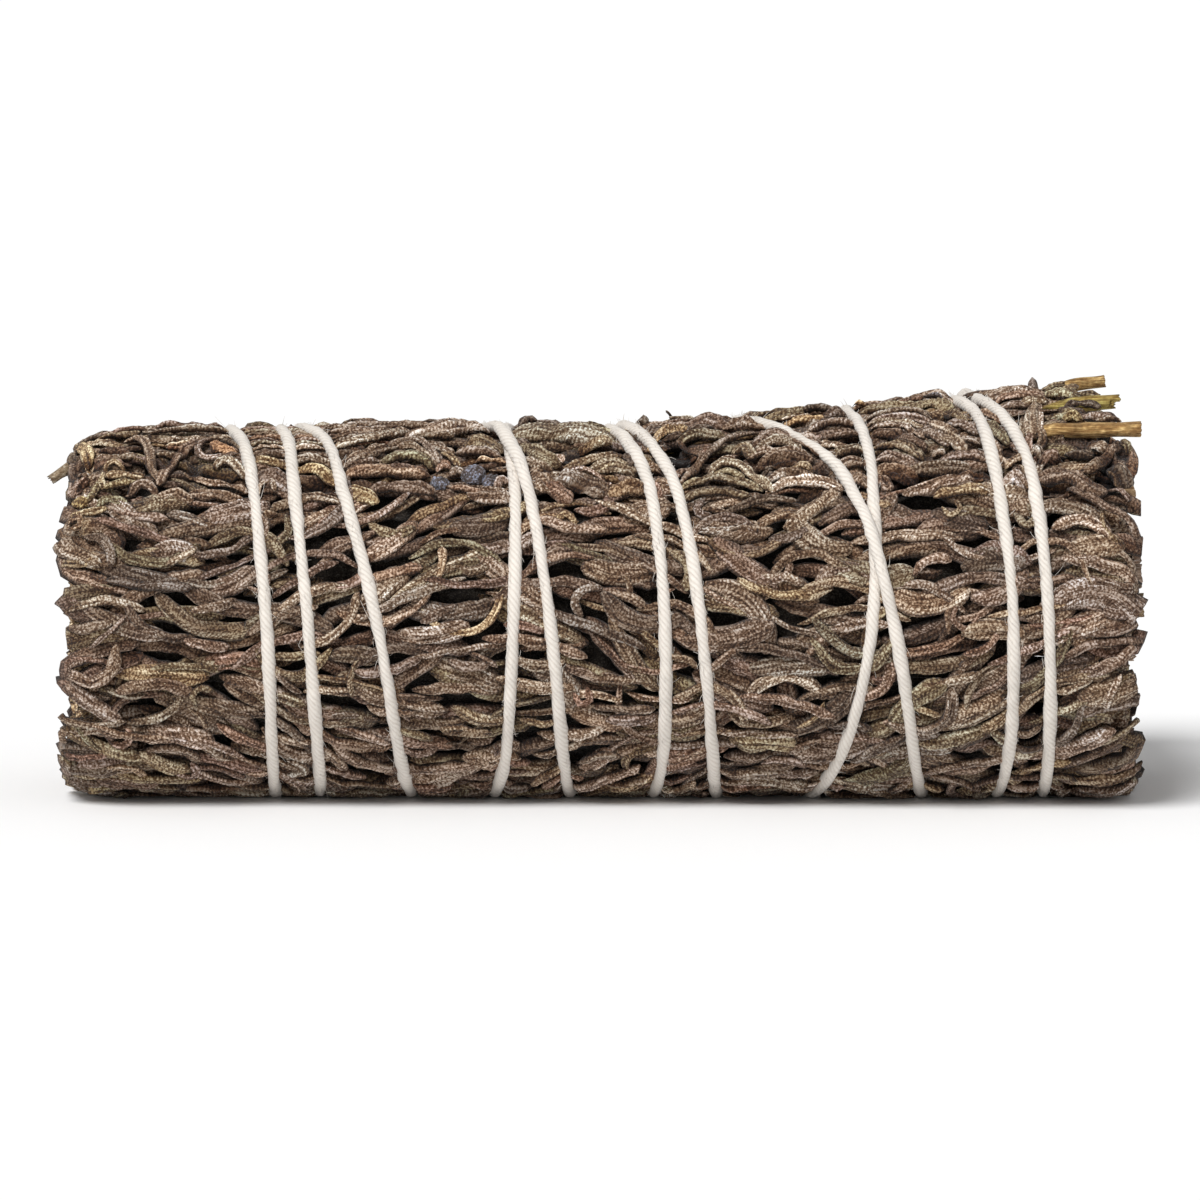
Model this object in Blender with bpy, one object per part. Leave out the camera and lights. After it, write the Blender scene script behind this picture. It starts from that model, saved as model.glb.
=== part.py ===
"""Sage smudge stick: a short bundle of dried sage sprigs wound with one length of cotton twine.

The bundle lies on its side along X and rests on z = 0, where its own weight has pressed it flat. The
leafy tips are at -X, the cut stems at +X, and the front is -Y. All lengths below are millimetres; the
last step of each maker turns them into metres.

A place on the bundle is (x, angle, radius): the angle in degrees goes from the top (0) over the front
(90) and the underside (180) to the back (270), and the radius is measured from the bundle's own axis.
"""

import math

import bmesh
import bpy
from mathutils import Vector

MM = 0.001
NAME = "sage_smudge_stick"

# The bundle is slightly thicker towards the cut stems: (x, outer radius of the leaves).
ENVELOPE = [(-54, 17.3), (-46, 17.9), (-20, 18.3), (0, 18.2), (20, 18.9), (40, 19.8), (54, 19.9)]
FLAT_DEPTH = 0.8  # how much the underside is pressed flat
GAP = 0.3  # air between neighbouring pieces
TWINE_GAP = 0.4  # and between the twine and what it presses in

TWINE_RADIUS = 0.65
TWINE_BITE = 0.45  # how far the twine's centre lies inside the envelope
PRESSED_HALF = 1.2  # half the length of the waist that one turn presses into the leaves
CROSSING_LIFT = 1.5  # how far a turn rises where it passes over another

# The twine's route. Each row is one turn, as the x where it passes each of these angles. It starts at
# the knot, goes to the leafy end in five turns, and comes back over them in five and a half.
TURN_ANGLES = (-8, 15, 42, 92, 152, 212, 282)
TURNS = (
    (34.6, 36.5, 38.1, 39.8, 39.0, 35.6, 29.2),
    (24.1, 25.3, 26.4, 26.2, 21.8, 15.0, 3.0),
    (1.2, 3.0, 5.2, 6.6, 5.9, 2.4, -4.0),
    (-8.7, -8.5, -7.8, -8.0, -9.4, -13.2, -27.2),
    (-30.5, -29.6, -28.9, -27.4, -26.6, -27.8, -33.0),
    (-35.3, -33.9, -32.8, -31.4, -31.0, -30.6, -29.6),
    (-28.4, -25.9, -24.2, -20.6, -18.2, -16.2, -13.2),
    (-10.9, -8.9, -6.5, -4.2, -2.8, -1.4, 0.6),
    (2.9, 5.0, 7.7, 10.2, 11.4, 11.8, 12.4),
    (13.6, 18.2, 23.9, 28.6, 31.0, 32.4, 33.4),
    (36.3, 38.7, 41.4, 43.2, 43.2),
)
OUTWARD_TURNS = 5  # the turns before the twine comes back over itself
TWINE_STEP = 15  # degrees between the points of the twine
CROSSING_STEP = 5  # and where it rises over another turn

KNOT_X, KNOT_ANGLE = 40.6, 230
KNOT_HALF = (2.1, 1.1, 1.8)  # half its length along the bundle, its height and its width
ROUTE_START = [(-123, 40.3), (-95, 38.9), (-50, 36.6)]
ROUTE_END = [(200, 42.2), (223, 41.0)]
TAIL_LENGTH = 9.0
TAIL_FANS = (-1.2, 1.7)  # degrees that each tail turns away for every mm of its length

BUD_X, BUD_ANGLE = -12.1, 37.0
BUD_HALF = (2.9, 0.9, 1.3)

# The outer layer, as the angles between which each spray of leaves lies. The three slots left out near
# the top hold the stems that come out over the leaves at +X.
SPRAYS = [(-3.7, 4.8), (11.2, 23.3), (30.7, 47), (47, 64), (64, 81), (81, 98), (98, 116), (116, 135)]
SPRAYS += [(135, 153), (153, 167), (167, 193), (193, 207), (207, 225), (225, 244), (244, 263)]
SPRAYS += [(263, 281), (281, 299), (299, 317), (317, 333), (333, 349.7)]
OUTER_DEPTH = 4.3
INNER_CLEAR = 4.6  # the inner layer starts this far inside the envelope
INNER_RADIUS = 7.0
LEFT_END, RIGHT_END = -50.4, 51.2
# Near the top the sprays stop short of the cut stems: (degrees from the top, x of their end).
SHORT_ENDS = ((12, 44.4), (22, 46.8), (40, 49.8))

# The inner layer: stems at these angles, and a pair of sprays between each two of them.
INNER_STEM_ANGLES = (2, 74, 146, 218, 290)
INNER_STEM_RADIUS = 10.6  # how far from the axis they lie
INNER_STEM_ROOM = 10  # degrees kept free for a stem on each side
CORE_STEM_RADIUS = 4.3
TOP_STEM_STATIONS = 10

# Half of a spray's section: (share of its half width, share of its depth).
SECTION = [(-0.5, 0), (0.5, 0), (1, 0.3), (1, 0.7), (0.5, 1), (-0.5, 1), (-1, 0.7), (-1, 0.3)]

SAGE_BROWN = (0.20, 0.15, 0.11, 1)
SAGE_DARK = (0.10, 0.07, 0.05, 1)
STRAW = (0.42, 0.29, 0.13, 1)
COTTON = (0.80, 0.74, 0.66, 1)
BUD_BLUE = (0.16, 0.16, 0.24, 1)


def clear_scene():
    for obj in list(bpy.data.objects):
        bpy.data.objects.remove(obj, do_unlink=True)


def material(name, colour, roughness):
    made = bpy.data.materials.new(name)
    made.use_nodes = True
    shader = made.node_tree.nodes["Principled BSDF"]
    shader.inputs["Base Color"].default_value = colour
    shader.inputs["Roughness"].default_value = roughness
    shader.inputs["Metallic"].default_value = 0.0
    return made


def smooth_through(stations, at):
    """The value at one place of a smooth curve through (place, value) stations."""
    last = len(stations) - 1
    if at <= stations[0][0]:
        return stations[0][1]
    if at >= stations[last][0]:
        return stations[last][1]
    i = max(k for k in range(last) if stations[k][0] <= at)
    (a, before), (b, after) = stations[i], stations[i + 1]

    def slope(k):
        low, high = max(k - 1, 0), min(k + 1, last)
        return (stations[high][1] - stations[low][1]) / (stations[high][0] - stations[low][0])

    span = b - a
    t = (at - a) / span
    return (
        (2 * t**3 - 3 * t**2 + 1) * before
        + (t**3 - 2 * t**2 + t) * span * slope(i)
        + (3 * t**2 - 2 * t**3) * after
        + (t**3 - t**2) * span * slope(i + 1)
    )


def smooth_step(low, high, at):
    t = min(1.0, max(0.0, (at - low) / (high - low)))
    return t * t * (3 - 2 * t)


def envelope(x):
    return smooth_through(ENVELOPE, x)


def axis_height(x):
    return envelope(x) - FLAT_DEPTH


def place(x, angle, radius):
    turned = math.radians(angle)
    return Vector((x, -radius * math.sin(turned), axis_height(x) + radius * math.cos(turned)))


def kept_above(radius, x, angle, height):
    """The radius, shortened where it would reach lower than this height above the surface."""
    down = -math.cos(math.radians(angle))
    return min(radius, (axis_height(x) - height) / down) if down > 0.1 else radius


def twine_route():
    """The twine's whole route as (angle, x) stations; the angle grows by 360 a turn."""
    stations = list(ROUTE_START)
    for turn, row in enumerate(TURNS):
        stations += [(360 * turn + angle, x) for angle, x in zip(TURN_ANGLES, row)]
    return stations + [(360 * (len(TURNS) - 1) + angle, x) for angle, x in ROUTE_END]


ROUTE = twine_route()
TURNING_POINT = 360 * OUTWARD_TURNS + TURN_ANGLES[0]


def twine_x(angle):
    return smooth_through(ROUTE, angle)


def lift_over_first_turns(angle, x):
    """How far the returning twine rises to pass over the turns already wound."""
    if angle < TURNING_POINT:
        return 0.0
    lift = 0.0
    below = angle - 360 * math.ceil((angle - TURNING_POINT) / 360)
    while below >= ROUTE[0][0]:
        apart = abs(x - twine_x(below))
        lift = max(lift, CROSSING_LIFT * (1 - smooth_step(0.7, 1.9, apart)))
        below -= 360
    return lift


def twine_radius(x, angle):
    """The radius of the twine's centre where it lies on the bundle."""
    return kept_above(envelope(x) - TWINE_BITE, x, angle, TWINE_RADIUS)


def leaf_radius(x, angle, pressed):
    """The outer radius of the leaves, free or pressed in under the twine."""
    if pressed:
        return twine_radius(x, angle) - TWINE_RADIUS - TWINE_GAP
    return kept_above(envelope(x), x, angle, 0.0)


def waists(centre, half):
    """Where something presses a spray in, as (low x, high x, slope) in order; slope is mm a degree."""
    found = []
    angle = centre + 360 * math.ceil((ROUTE[0][0] - centre) / 360)
    while angle <= ROUTE[-1][0]:
        slope = (twine_x(angle + half) - twine_x(angle - half)) / (2 * half)
        found.append((twine_x(angle) - PRESSED_HALF, twine_x(angle) + PRESSED_HALF, slope))
        angle += 360
    for x, at, reach in ((KNOT_X, KNOT_ANGLE, KNOT_HALF[0]), (BUD_X, BUD_ANGLE, BUD_HALF[0])):
        if abs(centre - at) < half + 6:
            found.append((x - reach - GAP, x + reach + GAP, 0.0))
    found.sort()
    joined = [found[0]]
    for low, high, slope in found[1:]:
        before = joined[-1]
        if low - before[1] < 1.8:
            joined[-1] = (before[0], max(high, before[1]), (before[2] + slope) / 2)
        else:
            joined.append((low, high, slope))
    return joined


def spray_stations(centre, half, left, right):
    """The rings of an outer spray, as (x, pressed, slope, size)."""
    zones = [z for z in waists(centre, half) if left + 3 < z[0] and z[1] < right - 3]
    rings = [(left, False, 0, 0.55), (left + 1.6, False, 0, 1)]
    edge, slope_before = left + 1.6, 0
    for low, high, slope in [*zones, (right - 1.6, None, 0)]:
        free = low - edge
        if free > 3.2:
            ramp = min(2.2, 0.35 * free)
            rings += [(edge + ramp, False, slope_before, 1), (low - ramp, False, slope, 1)]
        elif free > 2.4:
            rings.append(((edge + low) / 2, False, (slope_before + slope) / 2, 1))
        if high is not None:
            rings += [(low, True, slope, 1), (high, True, slope, 1)]
            edge, slope_before = high, slope
    return rings + [(right - 1.6, False, 0, 1), (right, False, 0, 0.55)]


def loft(name, rings, look, collection):
    """One closed solid through rings of points that match one to one."""
    mesh = bpy.data.meshes.new(name)
    built = bmesh.new()
    loops = [[built.verts.new(point * MM) for point in ring] for ring in rings]
    for first, second in zip(loops, loops[1:]):
        for k in range(len(first)):
            n = (k + 1) % len(first)
            built.faces.new((first[k], first[n], second[n], second[k]))
    built.faces.new(loops[0][::-1])
    built.faces.new(loops[-1])
    bmesh.ops.recalc_face_normals(built, faces=built.faces)
    built.to_mesh(mesh)
    built.free()
    mesh.materials.append(look)
    mesh.shade_smooth()
    mesh.set_sharp_from_angle(angle=math.radians(40))
    obj = bpy.data.objects.new(name, mesh)
    collection.objects.link(obj)
    return obj


def spray_ring(x, centre, half, outer, inner, size, slope=0.0):
    """The eight points of a spray's section at one place; outer gives the radius for (x, angle)."""
    points = []
    for across, deep in SECTION:
        angle = centre + across * half * size
        at = x + slope * (angle - centre)
        share = 0.5 + (deep - 0.5) * size
        radius = outer(at, angle) * (1 - share) + inner(at) * share
        points.append(place(at, angle, radius))
    return points


def outer_spray(name, edges, left, right, look, collection):
    """The leaves of one sprig in the outer layer, waisted where the twine passes over them."""
    centre = (edges[0] + edges[1]) / 2
    half = (edges[1] - edges[0]) / 2 - math.degrees(GAP / 2 / INNER_RADIUS / 2)
    rings = []
    for x, pressed, slope, size in spray_stations(centre, half, left, right):
        rings.append(
            spray_ring(
                x,
                centre,
                half,
                lambda at, angle, pressed=pressed: leaf_radius(at, angle, pressed),
                lambda at: envelope(at) - OUTER_DEPTH,
                size,
                slope,
            )
        )
    return loft(name, rings, look, collection)


def inner_spray(name, centre, half, left, right, look, collection):
    """Leaves packed between the core stems and the outer layer."""
    rings = []
    for x, size in ((left, 0.6), (left + 2, 1), ((left + right) / 2, 1), (right - 2, 1), (right, 0.6)):
        rings.append(
            spray_ring(
                x, centre, half, lambda at, angle: envelope(at) - INNER_CLEAR, lambda at: INNER_RADIUS, size
            )
        )
    return loft(name, rings, look, collection)


def tube(name, points, radius, look, collection, sides_step=2, swell=None):
    """A round stem or cord through these points, with flat cut ends."""
    line = bpy.data.curves.new(name, "CURVE")
    line.dimensions = "3D"
    line.bevel_depth = radius * MM
    line.bevel_resolution = sides_step
    line.use_fill_caps = True
    spline = line.splines.new("POLY")
    spline.points.add(len(points) - 1)
    for k, point in enumerate(points):
        spline.points[k].co = (*(point * MM), 1)
        spline.points[k].radius = swell[k] if swell else 1.0
    line.materials.append(look)
    obj = bpy.data.objects.new(name, line)
    collection.objects.link(obj)
    return obj


def lump(name, centre, half, tilt, look, collection):
    """A soft oval piece that lies on the bundle: half holds its length, height and width."""
    bpy.ops.mesh.primitive_ico_sphere_add(subdivisions=2, radius=1)
    obj = bpy.context.object
    obj.name = obj.data.name = name
    for vert in obj.data.vertices:
        ridge = 1 + 0.07 * math.sin(7 * vert.co.x + 3 * vert.co.y)
        vert.co = Vector((vert.co.x * half[0], vert.co.y * half[2], vert.co.z * half[1])) * (ridge * MM)
    obj.rotation_euler = (math.radians(tilt), 0, 0)
    obj.location = centre * MM
    obj.data.materials.append(look)
    obj.data.shade_smooth()
    for owner in list(obj.users_collection):
        owner.objects.unlink(obj)
    collection.objects.link(obj)
    return obj


def make_outer_sprays(look, collection):
    for k, edges in enumerate(SPRAYS):
        centre = (edges[0] + edges[1]) / 2
        from_top = min(centre, 360 - centre)
        ends = [x for reach, x in SHORT_ENDS if from_top < reach]
        left = LEFT_END + 0.5 * math.sin(2.3 * k)
        right = ends[0] if ends else RIGHT_END + 0.5 * math.sin(1.7 * k)
        outer_spray(f"leaf_spray_{k + 1:02d}", edges, left, right, look, collection)


def make_inner_layer(leaf_look, stem_look, collection):
    """Stems with pairs of sprays between them, round five core stems and one in the middle."""
    count = len(INNER_STEM_ANGLES)
    spacing = 360 / count
    half = (spacing - 2 * INNER_STEM_ROOM) / 4
    for k, angle in enumerate(INNER_STEM_ANGLES):
        for n in range(2):
            centre = angle + INNER_STEM_ROOM + half * (2 * n + 1)
            right = RIGHT_END - 0.8 + 0.5 * math.sin(2.1 * k + 3 * n)
            name = f"inner_spray_{2 * k + n + 1:02d}"
            inner_spray(name, centre, half - 1, LEFT_END + 0.8, right, leaf_look, collection)
        end = RIGHT_END + 0.6 + 0.4 * math.sin(1.9 * k)
        points = [
            place(x, angle + 2 * math.sin(x / 17 + k), INNER_STEM_RADIUS) for x in (-44, -20, 4, 28, end)
        ]
        tube(f"stem_{k + 4:02d}", points, 1.1, stem_look, collection, swell=[0.8, 0.9, 1, 1, 1.05])
        points = [
            place(x, angle + 23 + 4 * math.sin(x / 20 + k), CORE_STEM_RADIUS)
            for x in (-42, -14, 14, end + 0.4)
        ]
        name = f"stem_{k + 4 + count:02d}"
        tube(name, points, 1.25, stem_look, collection, swell=[0.75, 0.9, 1, 1])
    points = [place(x, 0, 0) for x in (-42, -14, 14, RIGHT_END + 0.8)]
    name = f"stem_{4 + 2 * count:02d}"
    tube(name, points, 1.25, stem_look, collection, swell=[0.75, 0.9, 1, 1])


def make_top_stems(look, collection):
    """Three stems that run in the outer layer and stand out over the leaves, and a thin twig."""
    for number, angle, radius, route in (
        (1, -7.0, 0.68, ((-44, -2.2), (-10, -2.2), (20, -2.2), (40, -2.2), (45, 0.0), (49.6, 0.75))),
        (2, 8.0, 0.7, ((-16, -2.3), (16, -2.3), (41, -2.25), (45, -0.9), (50.6, -0.5))),
        (3, 27.0, 0.9, ((-46, -2.6), (-8, -2.6), (20, -2.6), (42, -2.5), (46, -1.1), (52.5, -0.5))),
    ):
        first, last = route[0][0], route[-1][0]
        points, swell = [], []
        for k in range(TOP_STEM_STATIONS):
            share = k / (TOP_STEM_STATIONS - 1)
            x = first + (last - first) * share
            points.append(place(x, angle, envelope(x) + smooth_through(route, x)))
            swell.append(0.75 + 0.25 * min(1.0, 2 * share))
        tube(f"stem_{number:02d}", points, radius, look, collection, swell=swell)
    route = ((-19, -2.1), (-41, -2.05), (-48, -1.2), (-52.6, -3.4))
    points = [place(x, 8.0, envelope(x) + off) for x, off in route]
    tube("twig", points, 0.5, look, collection)


def twine_points():
    """The points of the wound twine: close together where it rises over another turn."""
    points = []
    angle, last = ROUTE[0][0], ROUTE[-1][0]
    while True:
        x = twine_x(angle)
        points.append(place(x, angle, twine_radius(x, angle) + lift_over_first_turns(angle, x)))
        if angle >= last:
            return points
        ahead = [angle + step for step in range(CROSSING_STEP, TWINE_STEP + 1, CROSSING_STEP)]
        risen = any(lift_over_first_turns(a, twine_x(a)) for a in [angle, *ahead])
        angle = min(last, angle + (CROSSING_STEP if risen else TWINE_STEP))


def make_twine(look, collection):
    """The wound cord, its knot on the lower back, and the knot's two short tails."""
    tube("twine", twine_points(), TWINE_RADIUS, look, collection, sides_step=1)
    knot = place(KNOT_X, KNOT_ANGLE, envelope(KNOT_X) + 0.15)
    lump("twine_knot", knot, KNOT_HALF, KNOT_ANGLE, look, collection)
    for number, fan in enumerate(TAIL_FANS, start=1):
        points = []
        for k in range(5):
            along = TAIL_LENGTH * k / 4
            x = KNOT_X + KNOT_HALF[0] + GAP + along
            angle = KNOT_ANGLE + math.copysign(3.4, fan) + fan * along
            points.append(place(x, angle, envelope(x) + 1.0))
        name = f"twine_tail_{number}"
        tube(name, points, TWINE_RADIUS * 0.9, look, collection, sides_step=1)


def make_smudge_stick():
    clear_scene()
    collection = bpy.data.collections.new(NAME)
    bpy.context.scene.collection.children.link(collection)
    leaf = material("dried_sage_leaf", SAGE_BROWN, 0.9)
    inner_leaf = material("inner_sage_leaf", SAGE_DARK, 0.9)
    stem = material("sage_stem", STRAW, 0.75)
    twine = material("cotton_twine", COTTON, 0.85)
    bud = material("sage_flower_bud", BUD_BLUE, 0.9)
    make_outer_sprays(leaf, collection)
    make_inner_layer(inner_leaf, stem, collection)
    make_top_stems(stem, collection)
    make_twine(twine, collection)
    bud_place = place(BUD_X, BUD_ANGLE, envelope(BUD_X) - 0.1)
    lump("flower_bud", bud_place, BUD_HALF, BUD_ANGLE, bud, collection)


make_smudge_stick()
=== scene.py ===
"""Looks of the sage smudge stick: every leaf roll, stem, bud and the plied twine, in the CAD model's frame.

The bundle lies along X on z = 0, with its leafy tips at -X, its cut stems at +X and its front at -Y. All
lengths here are millimetres until a mesh is made. A place on the bundle is (x, angle, radius): the angle
in degrees goes from the top (0) over the front (90) and the underside (180) to the back (270). Leaves are
first shaped in flat coordinates (x, s, h): s is the way round the bundle, measured at SKIN_RADIUS, and h
is the height over the bundle's envelope, which is negative inside it.
"""

import math
from typing import NamedTuple

import bpy
import numpy as np
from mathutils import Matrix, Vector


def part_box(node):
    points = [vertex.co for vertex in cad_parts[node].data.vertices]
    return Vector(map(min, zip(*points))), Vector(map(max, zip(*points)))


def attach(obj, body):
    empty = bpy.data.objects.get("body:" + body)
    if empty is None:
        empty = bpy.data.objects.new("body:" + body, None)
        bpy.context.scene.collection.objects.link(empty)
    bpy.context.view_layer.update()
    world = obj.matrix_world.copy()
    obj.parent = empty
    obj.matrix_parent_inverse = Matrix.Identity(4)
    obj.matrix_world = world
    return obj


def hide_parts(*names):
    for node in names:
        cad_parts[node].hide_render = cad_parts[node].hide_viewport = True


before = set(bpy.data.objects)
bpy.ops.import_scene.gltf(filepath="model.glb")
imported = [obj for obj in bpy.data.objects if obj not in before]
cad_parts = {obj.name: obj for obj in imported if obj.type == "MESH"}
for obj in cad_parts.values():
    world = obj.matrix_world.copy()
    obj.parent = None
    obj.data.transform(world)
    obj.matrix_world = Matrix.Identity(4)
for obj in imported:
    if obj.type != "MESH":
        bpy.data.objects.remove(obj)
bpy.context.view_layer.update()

MM = 0.001
SEED = 41
SKIN_RADIUS = 18.6
DEGREE = SKIN_RADIUS * math.pi / 180  # one degree round the bundle, in mm

# ---------------------------------------------------------------- the bundle's form, as in the CAD

# The bundle's radius, as (x, radius).
ENVELOPE = [(-54, 17.3), (-46, 17.9), (-20, 18.3), (0, 18.2), (20, 18.9), (40, 19.8), (54, 19.9)]
FLAT_DEPTH = 0.8  # by which the underside is pressed flat
LEFT_END, RIGHT_END = -50.9, 51.6

TWINE_RADIUS = 0.65
TWINE_BITE = 0.62  # the depth of its centre line under the envelope
CROSSING_LIFT = 1.05  # how much higher it lies where it crosses an earlier turn
# Where each turn passes, as the x at these angles; the first five go out to the leafy end, the others back.
TURN_ANGLES = (-8, 15, 42, 92, 152, 212, 282)
TURNS = (
    (34.6, 36.5, 38.1, 39.8, 39.0, 35.6, 29.2),
    (24.1, 25.3, 26.4, 26.2, 21.8, 15.0, 3.0),
    (1.2, 3.0, 5.2, 6.6, 5.9, 2.4, -4.0),
    (-8.7, -8.5, -7.8, -8.0, -9.4, -13.2, -27.2),
    (-30.5, -29.6, -28.9, -27.4, -26.6, -27.8, -33.0),
    (-35.3, -33.9, -32.8, -31.4, -31.0, -30.6, -29.6),
    (-28.4, -25.9, -24.2, -20.6, -18.2, -16.2, -13.2),
    (-10.9, -8.9, -6.5, -4.2, -2.8, -1.4, 0.6),
    (2.9, 5.0, 7.7, 10.2, 11.4, 11.8, 12.4),
    (13.6, 18.2, 23.9, 28.6, 31.0, 32.4, 33.4),
    (36.3, 38.7, 41.4, 43.2, 43.2),
)
OUTWARD_TURNS = 5
ROUTE_START = [(-128, 40.6), (-95, 38.9), (-50, 36.6)]
ROUTE_END = [(200, 42.2), (228, 40.8)]

KNOT_X, KNOT_ANGLE = 40.6, 230
BUD_X, BUD_ANGLE = -12.1, 37.0

# The angles between which each outer spray lies.
SPRAYS = [(-3.7, 4.8), (11.2, 23.3), (30.7, 47), (47, 64), (64, 81), (81, 98), (98, 116), (116, 135)]
SPRAYS += [(135, 153), (153, 167), (167, 193), (193, 207), (207, 225), (225, 244), (244, 263)]
SPRAYS += [(263, 281), (281, 299), (299, 317), (317, 333), (333, 349.7)]
INNER_COUNT = 10

# Where each end starts to round off, over what length, and by how much.
LEFT_ROUNDING = (-46.5, 5, 1.2)
RIGHT_ROUNDING = (49, 3, 0.8)
# The x that the leaves reach at the cut end, by the angle from the top.
CUT_ENDS = [(0, 43.8), (12, 44.6), (22, 46.8), (40, 49.8), (56, 51.6), (181, 51.6)]
# The leafy end is shorter near the twig: by how much, round which angle, and how far off it that fades out.
TWIG_GAP, GAP_ANGLE, GAP_FADE = 1.3, 14, (20, 40)


def smooth_through(stations, at):
    """The values at many places of a smooth curve through (place, value) stations."""
    place_at, value = np.array(stations, float).T
    at = np.clip(at, place_at[0], place_at[-1])
    slope = np.empty_like(value)
    slope[1:-1] = (value[2:] - value[:-2]) / (place_at[2:] - place_at[:-2])
    slope[0] = (value[1] - value[0]) / (place_at[1] - place_at[0])
    slope[-1] = (value[-1] - value[-2]) / (place_at[-1] - place_at[-2])
    i = np.clip(np.searchsorted(place_at, at, side="right") - 1, 0, len(place_at) - 2)
    span = place_at[i + 1] - place_at[i]
    t = (at - place_at[i]) / span
    return (
        (2 * t**3 - 3 * t**2 + 1) * value[i]
        + (t**3 - 2 * t**2 + t) * span * slope[i]
        + (3 * t**2 - 2 * t**3) * value[i + 1]
        + (t**3 - t**2) * span * slope[i + 1]
    )


def smooth_step(low, high, at):
    """0 up to low and 1 from high on, with a smooth rise between them."""
    t = np.clip((at - low) / (high - low), 0, 1)
    return t * t * (3 - 2 * t)


def unit(vectors):
    """The vectors at a length of 1."""
    return vectors / np.maximum(np.linalg.norm(vectors, axis=-1, keepdims=True), 1e-6)


def envelope(x):
    return smooth_through(ENVELOPE, x)


def axis_height(x):
    return envelope(x) - FLAT_DEPTH


def end_rounding(x):
    """How far the envelope draws in at the bundle's ends."""
    drawn_in = 0
    for way, (start, over, by) in ((-1, LEFT_ROUNDING), (1, RIGHT_ROUNDING)):
        drawn_in = drawn_in + by * np.clip(way * (x - start) / over, 0, 1.3) ** 2
    return drawn_in


def angle_from(middle, angle):
    """How far an angle is from another one, in degrees."""
    return np.abs((np.asarray(angle, float) - middle + 180) % 360 - 180)


def right_end(angle):
    """How far the leaves reach at the cut end."""
    return np.interp(angle_from(0, angle), *np.array(CUT_ENDS).T)


def left_end(angle):
    """How far the leaves reach at the leafy end: not as far near the top, round the twig."""
    return LEFT_END + TWIG_GAP * (1 - smooth_step(*GAP_FADE, angle_from(GAP_ANGLE, angle)))


def place(x, angle, radius):
    """Points in space for places on the bundle."""
    turned = np.radians(angle)
    x = np.broadcast_to(np.asarray(x, float), np.broadcast(x, angle, radius).shape)
    y = -radius * np.sin(turned)
    z = axis_height(x) + radius * np.cos(turned)
    return np.stack([x, y + 0 * x, z], axis=-1)


def kept_above(radius, x, angle, height):
    """The radius, made smaller on the underside where it would come below this height."""
    down = -np.cos(np.radians(angle))
    limit = (axis_height(x) - height) / np.maximum(down, 0.1)
    return np.where(down > 0.1, np.minimum(radius, limit), radius)


def twine_route():
    """The twine's (angle, x) stations, with the angle counted on from turn to turn."""
    stations = list(ROUTE_START)
    for turn, row in enumerate(TURNS):
        stations += [(360 * turn + angle, x) for angle, x in zip(TURN_ANGLES, row)]
    return stations + [(360 * (len(TURNS) - 1) + angle, x) for angle, x in ROUTE_END]


ROUTE = twine_route()
TURNING_POINT = 360 * OUTWARD_TURNS + TURN_ANGLES[0]  # from here on it goes back over its own turns
WOUND_ANGLES = np.arange(ROUTE[0][0], ROUTE[-1][0] + 1.0, 1.0)
WOUND_X = smooth_through(ROUTE, WOUND_ANGLES)


def twine_distance(x, angle):
    """How far each place is from the nearest turn of the twine, in mm along the surface."""
    first = WOUND_ANGLES[0]
    nearest = np.full(np.shape(x), np.inf)
    base = first + np.mod(np.asarray(angle, float) - first, 360)
    for turn in range(len(TURNS) + 1):
        at = base + 360 * turn
        wound = np.interp(at, WOUND_ANGLES, WOUND_X)
        slope = (np.interp(at + 3, WOUND_ANGLES, WOUND_X) - np.interp(at - 3, WOUND_ANGLES, WOUND_X)) / 6
        apart = np.abs(x - wound) / np.sqrt(1 + (slope / DEGREE) ** 2)
        nearest = np.where(at <= WOUND_ANGLES[-1], np.minimum(nearest, apart), nearest)
    return nearest


# The twine bites into the leaves, less so to its sides and with depth, and always has a bed to lie in.
BITE, BITE_WIDTH, BITE_REACH = 0.45, 0.85, 4.5
BED_DEPTH, BED_HALF_WIDTH, BED_SLOPE = 0.6, 0.35, 1.1
TABLE_BLEND = 0.12  # over this height the leaves bend from hanging free to lying flat on the surface


def pressed(x, angle, depth):
    """The depth under the envelope, after the twine has pressed in what lies under it."""
    apart = twine_distance(x, angle)
    bite = BITE * np.exp(-((apart / BITE_WIDTH) ** 2)) * np.clip(1 - depth / BITE_REACH, 0, 1)
    return np.maximum(depth + bite, BED_DEPTH - BED_SLOPE * np.clip(apart - BED_HALF_WIDTH, 0, None))


def on_bundle(grid):
    """Points (x, s, h) laid on the bundle: pressed in under the twine and flat on the surface below."""
    x, angle = grid[..., 0], grid[..., 1] / DEGREE
    depth = pressed(x, angle, -grid[..., 2] + end_rounding(x))
    points = place(x, angle, envelope(x) - depth)
    low = points[..., 2]
    points[..., 2] = 0.5 * (low + np.sqrt(low**2 + TABLE_BLEND**2))
    return points


def outward(points):
    """Unit vectors that point straight away from the bundle's axis."""
    x = points[..., 0]
    return unit(points - np.stack([x, 0 * x, axis_height(x)], axis=-1))


def raised_to(height, points):
    """The points, with those below this height lifted to it."""
    points[..., 2] = np.maximum(points[..., 2], height)
    return points


# ---------------------------------------------------------------- noise and colour

def lattice(i, j, k, seed):
    """A fixed random number from -1 to 1 for each cell of a lattice."""
    mixed = (i * 73856093) ^ (j * 19349663) ^ (k * 83492791) ^ (seed * 2654435761)
    mixed = (mixed ^ (mixed >> 13)) * 1274126177 & 0xFFFFFFFF
    return ((mixed ^ (mixed >> 16)) & 0xFFFF) / 32767.5 - 1


NOISE_START = 311.7  # keeps the bundle in the positive part of the lattice


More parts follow.
